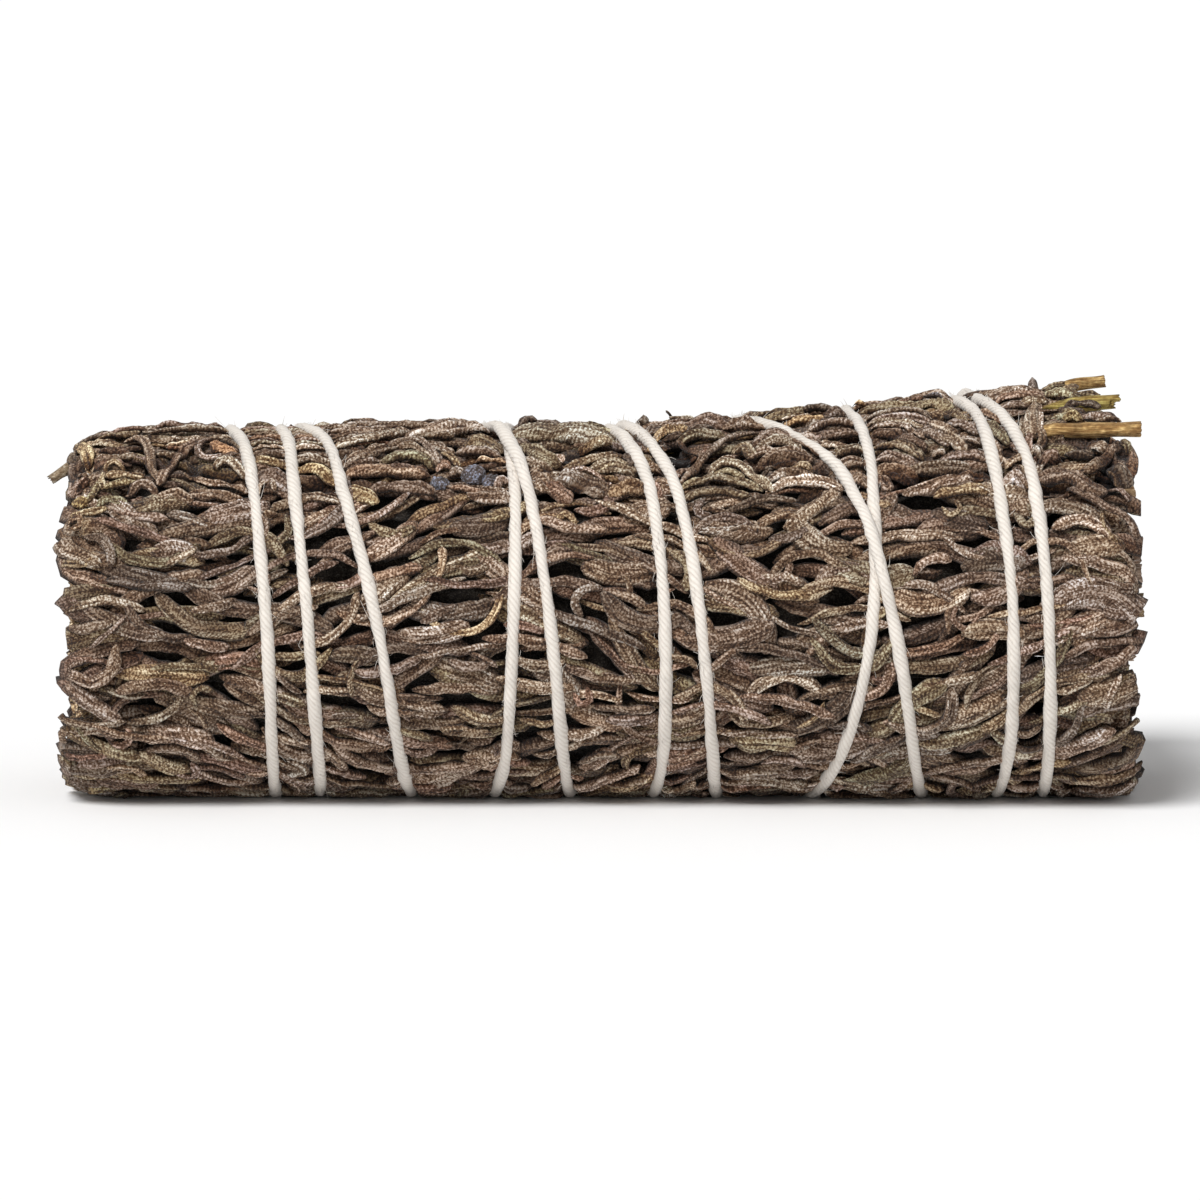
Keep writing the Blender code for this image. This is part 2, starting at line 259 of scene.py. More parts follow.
def noise(points, size, seed):
    """Smooth noise from -1 to 1 whose lumps are about this size, in mm."""
    at = points / size + NOISE_START
    cell = np.floor(at).astype(np.int64)
    f = at - cell
    f = f * f * (3 - 2 * f)
    total = 0
    for corner in np.ndindex(2, 2, 2):
        weight = 1
        for k, far in enumerate(corner):
            weight = weight * (f[..., k] if far else 1 - f[..., k])
        total = total + weight * lattice(*(cell[..., k] + far for k, far in enumerate(corner)), seed)
    return total


def linear(red, green, blue):
    """A screen colour as the light it stands for."""
    srgb = np.array([red, green, blue]) / 255
    return np.where(srgb <= 0.04045, srgb / 12.92, ((srgb + 0.055) / 1.055) ** 2.4)


SCREEN_COLOURS = {
    "taupe": (141, 119, 101),
    "brown": (124, 102, 85),
    "dark": (96, 79, 65),
    "purple": (138, 117, 104),
    "grey": (154, 136, 120),
    "pale": (184, 167, 149),
    "olive": (132, 116, 91),
    "moss": (120, 108, 80),
    "gold": (148, 124, 94),
    "ochre": (158, 136, 102),
    "lemon": (172, 150, 108),
    "straw": (184, 155, 118),
    "tan": (188, 158, 128),
    "pink": (154, 132, 114),
    "rust": (138, 108, 90),
    "red": (148, 118, 98),
    "orange": (164, 126, 94),
    "umber": (118, 84, 56),
    "stalk": (166, 132, 82),
    "green stalk": (162, 138, 76),
    "blue": (112, 105, 108),
    "cotton": (232, 224, 214),
}
COLOURS = {name: linear(*colour) for name, colour in SCREEN_COLOURS.items()}
# Mixtures, made in light and not on the screen's scale.
COLOURS["twig"] = COLOURS["lemon"] * 0.45 + COLOURS["grey"] * 0.45
COLOURS["packed leaf"] = COLOURS["brown"] * 0.6 + COLOURS["olive"] * 0.4


OFF_HUE = (0.965, 1.035)  # between these, each of red, green and blue is changed on its own


def tint_of(rng, colour, spread):
    """A named colour, made lighter or darker by up to this share, and a little off its hue."""
    return COLOURS[colour] * rng.uniform(1 - spread, 1 + spread) * rng.uniform(*OFF_HUE, 3)


# ---------------------------------------------------------------- meshes from grids of points

# Where a shape lies in its cell of the map: where it starts and how long it is, along its wall and across,
# and where the rim and the middle of each end's cap are.
WALL_ALONG, WALL_ACROSS = (0.06, 0.84), (0.03, 0.94)
CAPS_ALONG = ((0.05, 0.01), (0.91, 0.96))


def wall_faces(first, rings, around):
    """The quads of a tube's wall, and the places of their corners along and across its cell of the map."""
    i, j = np.meshgrid(np.arange(rings - 1), np.arange(around), indexing="ij")
    i, j = i.ravel(), j.ravel()
    after = (j + 1) % around
    corners = [i * around + j, i * around + after, (i + 1) * around + after, (i + 1) * around + j]
    u = np.stack([i, i, i + 1, i + 1], axis=1) / (rings - 1)
    v = np.stack([j, j + 1, j + 1, j], axis=1) / around
    return first + np.stack(corners, axis=1), WALL_ALONG[0] + WALL_ALONG[1] * u, v


def strip_faces(start, around, end):
    """The same for the quads that close a scroll's end across its strip."""
    near, far = CAPS_ALONG[end]
    half = around // 2
    j = np.arange(half - 1)
    facing = [j, j + 1, around - 2 - j, around - 1 - j]
    facing = facing if end else facing[::-1]
    v = np.stack([j, j + 1, j + 1, j], axis=1) / half
    u = np.broadcast_to([near, near, far, far] if end else [far, far, near, near], v.shape)
    return start + np.stack(facing, axis=1), u, v


def fan_faces(start, around, centre, end):
    """The same for the triangles that close a tube's end to a point in its middle."""
    near, far = CAPS_ALONG[end]
    j = np.arange(around)
    after = (j + 1) % around
    pair = [start + j, start + after] if end else [start + after, start + j]
    v = np.stack([j, j + 1, j + 0.5] if end else [j + 1, j, j + 0.5], axis=1) / around
    u = np.broadcast_to([near, near, far], v.shape)
    return np.stack([*pair, np.full(around, centre)], axis=1), u, v


class Cluster:
    """Many small closed shapes, each a grid of points, that become one mesh."""

    def __init__(self):
        self.points, self.colours, self.grains, self.grids = [], [], [], []
        self.count = 0

    def add(self, points, colours, cap_colours=None, grain=None, scroll=False):
        """A closed tube through rings of points: (rings, around, 3), with a colour for each point.

        The grain says where a point is on its own leaf or cord: the mm along it, then two numbers across.
        A scroll is a bent strip in section, whose ends are closed across the strip and not to a centre.
        """
        rings, around = points.shape[:2]
        grain = np.zeros(points.shape) if grain is None else grain
        for kept, values in ((self.points, points), (self.colours, colours), (self.grains, grain)):
            kept.append(values.reshape(-1, 3))
            if not scroll:
                kept.append(values[[0, -1]].mean(axis=1))
        if cap_colours is not None:
            self.colours[-1] = np.asarray(cap_colours, float)
        self.grids.append((self.count, rings, around, scroll))
        self.count += rings * around + (0 if scroll else 2)

    def mesh(self, name):
        """One mesh, with its colours in "tint" and a map in which each shape has a cell of its own."""
        side = math.ceil(math.sqrt(len(self.grids)))
        faces, maps = {4: [], 3: []}, {4: [], 3: []}  # by the number of corners
        for n, (first, rings, around, scroll) in enumerate(self.grids):
            cell = np.array([n % side, n // side])
            parts = [wall_faces(first, rings, around)]
            for end in (0, 1):
                start = first + end * (rings - 1) * around
                if scroll:
                    parts.append(strip_faces(start, around, end))
                else:
                    parts.append(fan_faces(start, around, first + rings * around + end, end))
            for corners, u, v in parts:
                on_map = np.stack([u, WALL_ACROSS[0] + WALL_ACROSS[1] * v], axis=-1)
                faces[corners.shape[1]].append(corners)
                maps[corners.shape[1]].append(((on_map + cell) / side).reshape(-1, 2))
        quads, tris, uv = (np.concatenate(values) for values in (faces[4], faces[3], maps[4] + maps[3]))
        points, colours, grains = map(np.concatenate, (self.points, self.colours, self.grains))
        return mesh_of(name, points * MM, quads, tris, uv, colours, grains)


def mesh_of(name, points, quads, tris, uv, colours, grains):
    """A smooth mesh: first the quads, then the triangles, with the map's places in that order."""
    made = bpy.data.meshes.new(name)
    made.vertices.add(len(points))
    made.vertices.foreach_set("co", points.astype(np.float32).ravel())
    corners = np.concatenate([quads.ravel(), tris.ravel()]).astype(np.int32)
    starts = np.concatenate([np.arange(len(quads)) * 4, len(quads) * 4 + np.arange(len(tris)) * 3])
    made.loops.add(len(corners))
    made.loops.foreach_set("vertex_index", corners)
    made.polygons.add(len(starts))
    made.polygons.foreach_set("loop_start", starts.astype(np.int32))
    made.polygons.foreach_set("use_smooth", np.ones(len(starts), bool))
    made.update(calc_edges=True)
    layer = made.uv_layers.new(name="OFBake")
    layer.uv.foreach_set("vector", uv.astype(np.float32).ravel())
    tint = made.color_attributes.new(name="tint", type="FLOAT_COLOR", domain="POINT")
    rgba = np.concatenate([np.clip(colours, 0, 1), np.ones((len(colours), 1))], axis=1)
    tint.data.foreach_set("color", rgba.astype(np.float32).ravel())
    grain = made.attributes.new(name="grain", type="FLOAT_VECTOR", domain="POINT")
    grain.data.foreach_set("vector", grains.astype(np.float32).ravel())
    made.validate()
    return made


def added(name, data):
    """A new object in the scene."""
    obj = bpy.data.objects.new(name, data)
    bpy.context.scene.collection.objects.link(obj)
    return obj


def piece(name, cluster, material, slot, *nodes):
    """Makes a cluster into one visual piece, which stands for these CAD nodes."""
    obj = added(name, cluster.mesh(name))
    obj.data.materials.append(material)
    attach(obj, "root")
    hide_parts(*nodes)


# ---------------------------------------------------------------- sweeping a section along a path

def length_of(path):
    """A path's length."""
    return float(np.linalg.norm(np.diff(path, axis=0), axis=1).sum())


def along_path(stations, count):
    """A smooth path through three or more points, as evenly spaced points."""
    stations = np.array(stations, float)
    gaps = np.linalg.norm(np.diff(stations, axis=0), axis=1)
    knots = np.concatenate([[0], np.cumsum(gaps)])
    even = np.linspace(0, knots[-1], count)
    return np.stack([smooth_through(list(zip(knots, values)), even) for values in stations.T], axis=1)


def swept(path, across, up, twist):
    """Rings of points: each ring is the section (across, up) set on the path and turned by twist.

    The path is in flat coordinates, so that a section's own up is away from the bundle.
    """
    ahead = unit(np.gradient(path, axis=0))
    side = unit(np.stack([-ahead[:, 1], ahead[:, 0], np.zeros(len(path))], axis=1))
    above = np.cross(ahead, side)
    turned = np.broadcast_to(np.asarray(twist, float), (len(path),))[:, None]
    a = across * np.cos(turned) - up * np.sin(turned)
    b = across * np.sin(turned) + up * np.cos(turned)
    return path[:, None, :] + a[..., None] * side[:, None, :] + b[..., None] * above[:, None, :]


def angles_round(count):
    """Evenly spaced angles of a full turn, in radians."""
    return 2 * np.pi * np.arange(count) / count


def round_section(path, radius, around, up=(0.0, 0.0, 1.0)):
    """Round rings along a path in space, each started from the side and turned towards up."""
    ahead = unit(np.gradient(path, axis=0))
    side = unit(np.cross(ahead, up + 0 * ahead))
    up = np.cross(side, ahead)
    turn = angles_round(around)
    return (
        path[:, None, :]
        + (radius * np.cos(turn))[..., None] * side[:, None, :]
        + (radius * np.sin(turn))[..., None] * up[:, None, :]
    )


# ---------------------------------------------------------------- leaves

class Detail(NamedTuple):
    """How closely a leaf is modelled."""

    spacing: float  # mm between its rings
    roll_angles: tuple  # of the points round a roll, from its underside
    blade_points: tuple  # across the upper and the lower side of a broad leaf
    hollowed: float  # how far a dark hollow pushes it in, in mm
    crumple: float  # its fine unevenness, in mm
    spread: float  # how much lighter or darker than its colour it may be


DETAIL = {
    "fine": Detail(
        0.24, (-90, -48, -14, 14, 38, 60, 78, 90, 102, 120, 142, 166, 194, 228), (18, 4), 0.7, 0.13, 0.12),
    "plain": Detail(0.45, (-90, -28, 12, 48, 90, 132, 168, 208), (11, 2), 1.4, 0.08, 0.32),
    "under": Detail(0.75, (-90, -15, 40, 90, 140, 195), (11, 2), 1.4, 0.08, 0.32),
}
# The share of a leaf's length over which it narrows to its tip and to its base.
ROLL_ENDS, BROAD_ENDS = (0.3, 0.2), (0.45, 0.3)
WOBBLE = 0.07  # how far a rolled leaf strays from its path


def either_way(rng, low, high):
    """A random number of this size, to one side or the other."""
    return rng.choice([-1, 1]) * rng.uniform(low, high)


def wave(rng, run, low, high):
    """A sine along a leaf, from a random start; its angle grows by low to high for each mm."""
    return np.sin(run * rng.uniform(low, high) + rng.uniform(0, 6))


def taper(t, ends, cut):
    """The share of its full width that a leaf has along its length. It doesn't narrow to a cut end."""
    shape = np.ones_like(t)
    for along, end, is_cut in zip((t, 1 - t), ends, cut):
        if not is_cut:
            shape *= np.clip(1 - np.clip(1 - along / end, 0, 1) ** 2.2, 0.06, 1) ** 0.5
    return shape


def leaf_path(stations, spacing, fewest, most):
    """A leaf's path, and how far its points are along it: as shares of its length, and in mm."""
    rings = int(np.clip(length_of(along_path(stations, 3)) / spacing, fewest, most))
    path = along_path(stations, rings)
    t = np.linspace(0, 1, rings)
    return path, t, t * length_of(path)


def rolled_leaf(rng, stations, width, detail, cut):
    """A leaf whose edges have dried inwards into a roll, with a groove where they meet."""
    path, t, run = leaf_path(stations, detail.spacing, 7, 80)
    path = path + WOBBLE * np.stack([0 * run, wave(rng, run, 1.2, 2.4), 0 * run], axis=1)
    thick = width * rng.uniform(0.72, 0.98)
    groove = rng.uniform(0.2, 0.38) * width
    swell = 0.10 * wave(rng, run, 0.8, 1.4)
    swell += 0.06 * wave(rng, run, 2.6, 3.8)
    size = taper(t, ROLL_ENDS, cut) * (1 + swell)
    # the section: a rounded box, thicker on the side that it leans to
    lean = rng.uniform(-0.22, 0.22)
    turn = np.radians(detail.roll_angles)
    a = np.cos(turn) * (1 + lean * np.cos(turn))
    b = np.sign(np.sin(turn)) * np.abs(np.sin(turn)) ** 0.85
    across = size[:, None] * width / 2 * a
    up = size[:, None] * thick / 2 * b
    # the groove wanders from side to side on the upper side; off is how far a point is from it
    off = across - (0.12 * width * wave(rng, run, 0.3, 0.8) + lean * width / 2)[:, None]
    crease = np.exp(-((off / (0.14 * width)) ** 2)) * np.clip(np.sin(turn), 0, 1)[None, :]
    up = up - crease * groove * size[:, None]
    twist = rng.uniform(-0.35, 0.35) + 0.25 * np.sin(run / 3 + rng.uniform(0, 6))
    # painted shade and light: dark in the groove and towards the underside, lighter on top
    shade = (1 - 0.6 * crease) * (0.16 + 1.0 * smooth_step(-0.5, 1.05, b))[None, :]
    return swept(path, across, up, twist), shade, run, off


def broad_leaf(rng, stations, width, detail, cut):
    """A leaf that dried half open: a domed blade with a midrib and lengthwise folds."""
    path, t, run = leaf_path(stations, detail.spacing * 1.1, 8, 70)
    thick = rng.uniform(0.5, 0.8)
    upper, lower = detail.blade_points
    # share is a point's place across the blade, from 1 to -1 on the upper side and back on the lower one
    share = np.concatenate([np.linspace(1, -1, upper), np.linspace(-0.8, 0.8, lower)])
    is_top = np.concatenate([np.ones(upper), np.zeros(lower)])
    size = taper(t, BROAD_ENDS, cut) * (1 + 0.08 * wave(rng, run, 0.8, 1.6))
    across = size[:, None] * width / 2 * share
    dome = np.sqrt(np.clip(1 - share**2, 0, 1)) * (0.5 * thick + 0.07 * width)
    sag = -0.12 * width * np.abs(share) ** 2.5
    up = size[:, None] * (np.where(is_top > 0, dome, -0.25 * thick) + sag)
    # off is how far a point is from the midrib, which wanders a little
    off = across + 0.06 * width * np.sin(run / 2.3 + rng.uniform(0, 6))[:, None]
    midrib = np.exp(-((off / 0.22) ** 2)) * is_top
    fold_width = rng.uniform(0.7, 1.05)
    bend = 0.5 * np.sin(run / 1.9 + rng.uniform(0, 6))[:, None]
    fold = np.cos(2 * np.pi * off / fold_width + bend + rng.uniform(0, 1)) * is_top
    edge = 1 - np.abs(share) ** 4
    up = up + (0.19 * fold - 0.2 * midrib) * edge * size[:, None]
    grid = swept(path, across, up, rng.uniform(-0.3, 0.3))
    # painted light and shade: lighter on the ridges of the folds, darker in their troughs and along the
    # sunken midrib, and the lower side darker
    shade = 1 + (0.24 * fold - 0.4 * midrib) * is_top
    return grid, shade * np.where(is_top > 0, 1.0, 0.6), run, off


TONING = (0.95, 0.835, 0.715)  # makes the leaf colours as brown as dried leaves are
SHADE_POWERS = (0.93, 1.2, 1.48)  # how strongly red, green and blue darken under the painted shade, which is warm
LIGHTEST, DARKEST = 1.23, 0.1  # painted shade by depth: how much light the top leaves and the deepest ones give back
# Painted shade: from DARKER_FROM mm under the envelope the leaves darken by DARKER_PER_MM for each mm
# deeper.
DARKER_FROM, DARKER_PER_MM = 0.15, 0.64
PATCHES = ("grey", "gold", "purple", "dark")  # the colours that leaves have spots of
PAINTED_RELIEF_SHADING = 1.5  # painted light and shade: how much lighter the raised parts of a leaf's crumpled skin are, and darker the sunken ones
# How much the hollows darken the leaves in them: painted shade.
HOLLOW_PAINTED_SHADE = 0.87


def painted_depth_shade(depth):
    """How much darker a leaf is coloured the deeper it lies in the bundle: painted shade."""
    return np.clip(LIGHTEST - DARKER_PER_MM * np.clip(depth - DARKER_FROM, 0, 3), DARKEST, LIGHTEST)


def crumpled(points, kind, detail):
    """The points of a leaf moved in and out by its uneven skin, and how far each was moved."""
    rough = noise(points, 0.95, 3) * 0.12 + noise(points, 0.45, 5) * detail.crumple
    if kind == "broad":
        rough = rough + noise(points, 1.5, 7) * 0.24
    return raised_to(0.0, points + outward(points) * rough[..., None]), rough


def leaf_colours(rng, points, colour, spread, shade):
    """A leaf's colour at each point, in patches and with the painted light and shade."""
    base = tint_of(rng, colour, spread) * TONING
    patch = 0.5 + 0.5 * noise(points, 2.6, int(rng.integers(1, 99)))
    other = COLOURS[rng.choice(PATCHES)]
    mixed = base + (other - base) * (0.35 * patch[..., None])
    return mixed * shade[..., None] ** SHADE_POWERS


def lay_leaf(cluster, rng, kind, stations, width, colour, detail, cut=(False, False)):
    """Shapes one leaf in flat coordinates, lays it on the bundle and adds it to a spray's cluster."""
    detail = DETAIL[detail]
    make = broad_leaf if kind == "broad" else rolled_leaf
    grid, shade, run, off = make(rng, stations, width, detail, cut)
    hollow = hollow_at(grid[..., 0], grid[..., 1])
    grid[..., 2] -= hollow * detail.hollowed
    depth = -grid[..., 2]
    points, rough = crumpled(on_bundle(grid), kind, detail)
    # All painted light and shade: the leaf's own lit and shaded sides, its depth, its crumpled relief and
    # the hollows.
    shade = shade * painted_depth_shade(depth) * np.exp(PAINTED_RELIEF_SHADING * rough) * (1 - HOLLOW_PAINTED_SHADE * hollow)
    colours = leaf_colours(rng, points, colour, detail.spread, shade)
    caps = [colours[end].mean(axis=0) for end in (0, -1)]
    for end in (0, 1):
        if cut[end]:
            caps[end] = COLOURS["ochre" if rng.random() < 0.5 else "olive"] * rng.uniform(0.5, 1.0)
    grain = np.stack([run[:, None] + 0 * off, off, np.full_like(off, rng.uniform(0, 1))], axis=-1)
    cluster.add(points, colours, caps, grain)


USUAL_HEIGHT = -0.3


def flat(x, angle, lift=0.0):
    """A place at the usual height of the front's leaves, or this much higher, in flat coordinates."""
    return (x, angle * DEGREE, USUAL_HEIGHT + lift)


# Leaves of the upper front, one row each: kind, colour, width, then (x, angle[, lift]) along it.
FRONT_LEAVES = (
    # the leafy end
    ("roll", "dark", 0.9, (-50.1, 2, -0.1), (-48.6, 0, 0.1), (-47.2, 0, -0.1)),
    ("roll", "purple", 0.8, (-47.4, 0, -0.1), (-45.5, -2, 0.2), (-43.4, -2, 0.2)),
    ("roll", "olive", 0.75, (-48.2, 4), (-46.4, 2, 0.05), (-44.0, 1)),
    ("broad", "lemon", 1.3, (-50.2, 3, -0.2), (-49.3, 11, 0.1), (-48.7, 22, -0.1)),
    ("roll", "dark", 0.9, (-50.3, 6, -0.3), (-50.5, 11, -0.2), (-49.9, 16, -0.5)),
    ("broad", "gold", 1.3, (-49.2, 7, -0.2), (-47.6, 10), (-45.4, 13, -0.3)),
    ("roll", "brown", 0.9, (-48.4, 15, -0.3), (-46.6, 16, -0.2), (-44.8, 17, -0.4)),
    ("roll", "taupe", 1.0, (-45.5, 12, -0.1), (-44.4, 9, 0.1), (-43.4, 15, 0.25),
     (-42.8, 23, 0.2), (-42.6, 30, 0.15), (-41.8, 37)),
    ("roll", "taupe", 1.05, (-37.9, 14), (-39.2, 19, 0.15), (-40.4, 26, 0.25), (-41.3, 32, 0.2),
     (-42.0, 38)),
    ("roll", "grey", 0.8, (-48.2, 20, -0.3), (-46.2, 22, -0.1), (-44.0, 21, -0.3)),
    ("roll", "gold", 0.5, (-46.9, 33, -0.1), (-47.1, 28, 0.1), (-46.3, 26, 0.15), (-45.2, 28, -0.1)),
    ("roll", "dark", 0.7, (-50.0, 24, -0.5), (-48.8, 26, -0.4), (-47.4, 29, -0.6)),
    ("roll", "ochre", 0.95, (-47.3, 33), (-45.4, 32.5, 0.15), (-43.3, 33.5, -0.2)),
    ("roll", "ochre", 0.7, (-47.0, 30), (-47.5, 34, 0.15), (-47.2, 38)),
    ("roll", "ochre", 0.85, (-47.5, 38), (-45.6, 36.5, 0.1), (-43.9, 35, -0.2)),
    ("roll", "taupe", 0.95, (-45.1, 42, -0.1), (-44.0, 38, 0.1), (-42.9, 38, 0.1), (-42.0, 42, -0.1)),
    ("roll", "grey", 0.6, (-49.8, 29, -0.1), (-49.3, 28), (-48.7, 30, -0.2)),
    ("roll", "pink", 0.85, (-50.0, 37, -0.2), (-49.5, 33, -0.1), (-48.7, 31, -0.2)),
    ("broad", "lemon", 1.3, (-50.3, 40, -0.2), (-49.6, 41), (-48.7, 43, -0.2)),
    ("roll", "olive", 0.9, (-48.8, 42, -0.1), (-48.1, 38.5, 0.05), (-47.6, 35, -0.2)),
    ("roll", "moss", 0.9, (-47.8, 45, -0.1), (-46.6, 43), (-44.9, 45, -0.2)),
    ("roll", "ochre", 0.8, (-50.4, 46, -0.1), (-49.0, 47, 0.1), (-46.8, 46, -0.1)),
    ("roll", "purple", 0.9, (-43.0, -3), (-41.9, -4, 0.5), (-40.0, -4, 0.4), (-37.0, -4, 0.2),
     (-34.8, -3, -0.1)),
    ("roll", "grey", 0.75, (-43.8, 1), (-41.2, 0, 0.2), (-38.4, 0, 0.2), (-35.0, 2)),
    ("roll", "grey", 0.8, (-43.2, 11, -0.2), (-40.4, 11, -0.1), (-37.4, 12), (-34.8, 9, -0.2)),
    ("roll", "tan", 0.65, (-41.4, 16, -0.05), (-39.6, 15.5, 0.1), (-37.7, 14.5)),
    ("roll", "orange", 0.4, (-41.4, 18, -0.05), (-40.7, 18), (-39.8, 18, -0.1)),
    ("roll", "grey", 0.75, (-42.8, 20, -0.4), (-41.4, 20, -0.3), (-39.8, 21, -0.4)),
    ("roll", "grey", 0.65, (-36.8, 11), (-37.9, 15, 0.15), (-38.3, 21, 0.15), (-37.5, 26, 0.2),
     (-36.2, 26, 0.15), (-34.4, 22, -0.1)),
    ("broad", "orange", 1.35, (-36.9, 13, -0.1), (-36.2, 19, 0.1), (-34.4, 22.5, -0.2)),
    ("roll", "dark", 0.7, (-36.2, 12, -0.1), (-35.2, 15), (-34.0, 19, -0.2)),
    ("roll", "pale", 0.95, (-36.8, 30), (-35.8, 28, 0.25), (-34.6, 30, 0.2), (-33.4, 35, -0.1)),
    ("roll", "pink", 0.8, (-38.6, 35, -0.1), (-36.9, 38, 0.1), (-35.0, 39, 0.05), (-33.3, 41, -0.2)),
    ("roll", "brown", 1.1, (-39.2, 42, -0.1), (-36.6, 43, 0.1), (-33.8, 45, -0.1)),
    ("roll", "taupe", 1.1, (-42.4, 44, -0.1), (-40.4, 42, 0.1), (-38.6, 45, -0.1)),
    ("roll", "brown", 0.8, (-39.6, 31, -0.4), (-38.8, 33, -0.3), (-37.8, 33, -0.5)),
    # between the first turns
    ("roll", "taupe", 0.7, (-34.8, -2, -0.1), (-31.5, -1, -0.05), (-29.0, -1, -0.05), (-26.0, -2, -0.1)),
    ("roll", "grey", 0.5, (-34.4, 2.5, -0.15), (-31.5, 3, -0.1), (-28.6, 2.5, -0.1),
     (-25.4, 2.5, -0.15)),
    ("roll", "taupe", 0.55, (-34.2, 6, -0.2), (-31.5, 6, -0.15), (-28.6, 6.5, -0.15),
     (-25.4, 6.5, -0.2)),
    ("roll", "red", 0.6, (-34.2, 9.5, -0.25), (-31.5, 10, -0.2), (-28.6, 10.5, -0.2),
     (-25.2, 11, -0.25)),
    ("roll", "purple", 0.55, (-34.0, 12.5, -0.3), (-31.4, 13, -0.25), (-28.6, 13.5, -0.25),
     (-25.2, 14, -0.3)),
    ("roll", "pale", 0.5, (-34.0, 16, -0.1), (-31.5, 16, -0.05), (-28.6, 16.5, -0.1),
     (-25.8, 17, -0.15)),
    ("roll", "pale", 0.6, (-33.8, 19, -0.2), (-31.5, 19, -0.1), (-28.6, 19.5, -0.05),
     (-26.0, 20, -0.15)),
    ("roll", "brown", 0.8, (-33.8, 22.5, -0.3), (-31.2, 22.5, -0.2), (-28.2, 23, -0.2),
     (-25.0, 24.5, -0.3)),
    ("roll", "ochre", 0.95, (-33.4, 26, -0.3), (-31.4, 28, -0.05), (-29.0, 31, -0.3)),
    ("broad", "purple", 2.4, (-33.2, 34, -0.2), (-31.2, 35.5), (-28.8, 40, -0.2)),
    ("roll", "grey", 0.6, (-32.4, 32), (-31.0, 34, 0.1), (-29.6, 39, -0.05)),
    ("roll", "grey", 0.6, (-32.4, 43, -0.1), (-32.2, 39, 0.1), (-31.2, 38, 0.15), (-30.8, 42)),
    ("roll", "grey", 0.95, (-29.6, 26, -0.3), (-27.4, 26.5, -0.1), (-24.8, 29, -0.25)),
    ("broad", "ochre", 1.5, (-29.4, 30.5, -0.3), (-27.2, 32, 0.05), (-25.0, 36.5), (-23.8, 40, -0.2)),
    ("roll", "taupe", 1.0, (-29.6, 44, -0.2), (-27.0, 44, -0.1), (-24.0, 46, -0.2)),
    # the middle, left of the pair that crosses
    ("roll", "dark", 0.6, (-24.8, -3, 0.1), (-23.4, -4, 0.4), (-22.0, -4, 0.3)),
    ("roll", "taupe", 0.8, (-21.0, -3, 0.0), (-18.4, -4, 0.2), (-15.2, -2, 0.0)),
    ("roll", "grey", 0.8, (-26.4, 0), (-23.4, -1, 0.15), (-19.6, -2, 0.15)),
    ("roll", "taupe", 0.75, (-26.2, 3), (-22.8, 2, 0.05), (-18.6, 0, 0.05), (-14.8, -1, -0.15)),
    ("roll", "grey", 0.75, (-25.8, 7), (-22.4, 6.5, 0.05), (-18.6, 5)),
    ("roll", "taupe", 0.85, (-25.6, 12), (-22.4, 10.5, 0.1), (-18.0, 8)),
    ("roll", "grey", 0.7, (-25.4, 16), (-23.0, 14, 0.1), (-20.4, 11)),
    ("roll", "pale", 0.95, (-25.4, 19.5), (-22.6, 17, 0.2), (-20.4, 13.5, 0.2), (-18.1, 9, 0.05)),
    ("roll", "taupe", 1.3, (-24.6, 30, -0.1), (-21.8, 25, 0.1), (-18.4, 18.5, 0.15)),
    ("roll", "grey", 0.85, (-18.9, 17.5, 0.1), (-17.0, 18.5, 0.3), (-15.9, 24, 0.3), (-15.0, 31, 0.1)),
    ("roll", "brown", 0.75, (-19.2, 21), (-17.6, 21.5, 0.2), (-16.4, 26, 0.2), (-15.3, 31)),
    ("roll", "moss", 1.0, (-20.9, 30, -0.1), (-19.0, 27, 0.15), (-17.0, 28, 0.15), (-15.3, 31.5, -0.1)),
    ("roll", "brown", 0.8, (-24.2, 31, -0.2), (-22.4, 29.5), (-20.4, 30, -0.2)),
    ("roll", "rust", 1.35, (-24.2, 34.5, -0.1), (-20.8, 34.5, 0.15), (-16.0, 35.5, -0.1)),
    ("roll", "brown", 1.35, (-21.8, 41.5, -0.1), (-19.0, 41, 0.15), (-15.4, 42.5, -0.1)),
    ("broad", "ochre", 1.7, (-24.4, 40, -0.1), (-22.8, 43, 0.15), (-20.8, 46.5, -0.1)),
    ("broad", "taupe", 3.3, (-18.6, 11, -0.3), (-15.4, 6.5, 0.1), (-12.8, 3, 0.3), (-10.0, 2, 0.1)),
    ("roll", "taupe", 0.8, (-17.8, 14, -0.1), (-15.8, 13, 0.1), (-13.6, 12, -0.1)),
    ("roll", "grey", 0.7, (-16.2, 19.5), (-14.9, 22, 0.1), (-13.6, 25)),
    ("broad", "olive", 2.7, (-13.3, 22, -0.2), (-11.4, 18, 0.15), (-8.8, 21, -0.1)),
    ("roll", "purple", 1.0, (-13.6, 24, -0.1), (-11.8, 23.5, 0.15), (-9.2, 25, -0.1)),
    ("roll", "gold", 0.85, (-14.9, 24, -0.1), (-14.0, 27, 0.15), (-13.2, 32)),
    ("roll", "tan", 0.5, (-11.6, 28, 0.05), (-10.4, 28, 0.1), (-8.6, 28)),
    ("roll", "red", 0.95, (-15.3, 34), (-14.7, 31, 0.2), (-14.0, 33, 0.1)),
    ("roll", "grey", 0.8, (-13.9, 36), (-13.4, 33, 0.1), (-12.8, 35)),
    ("roll", "grey", 0.9, (-9.6, 41), (-9.2, 37, 0.1), (-8.4, 38)),
    ("roll", "rust", 0.6, (-14.0, 41), (-12.6, 41.5, 0.1), (-11.0, 42)),
    ("broad", "purple", 2.1, (-12.4, 43, -0.1), (-10.4, 43.5, 0.1), (-8.0, 44, -0.1)),
    # right of the pair that crosses
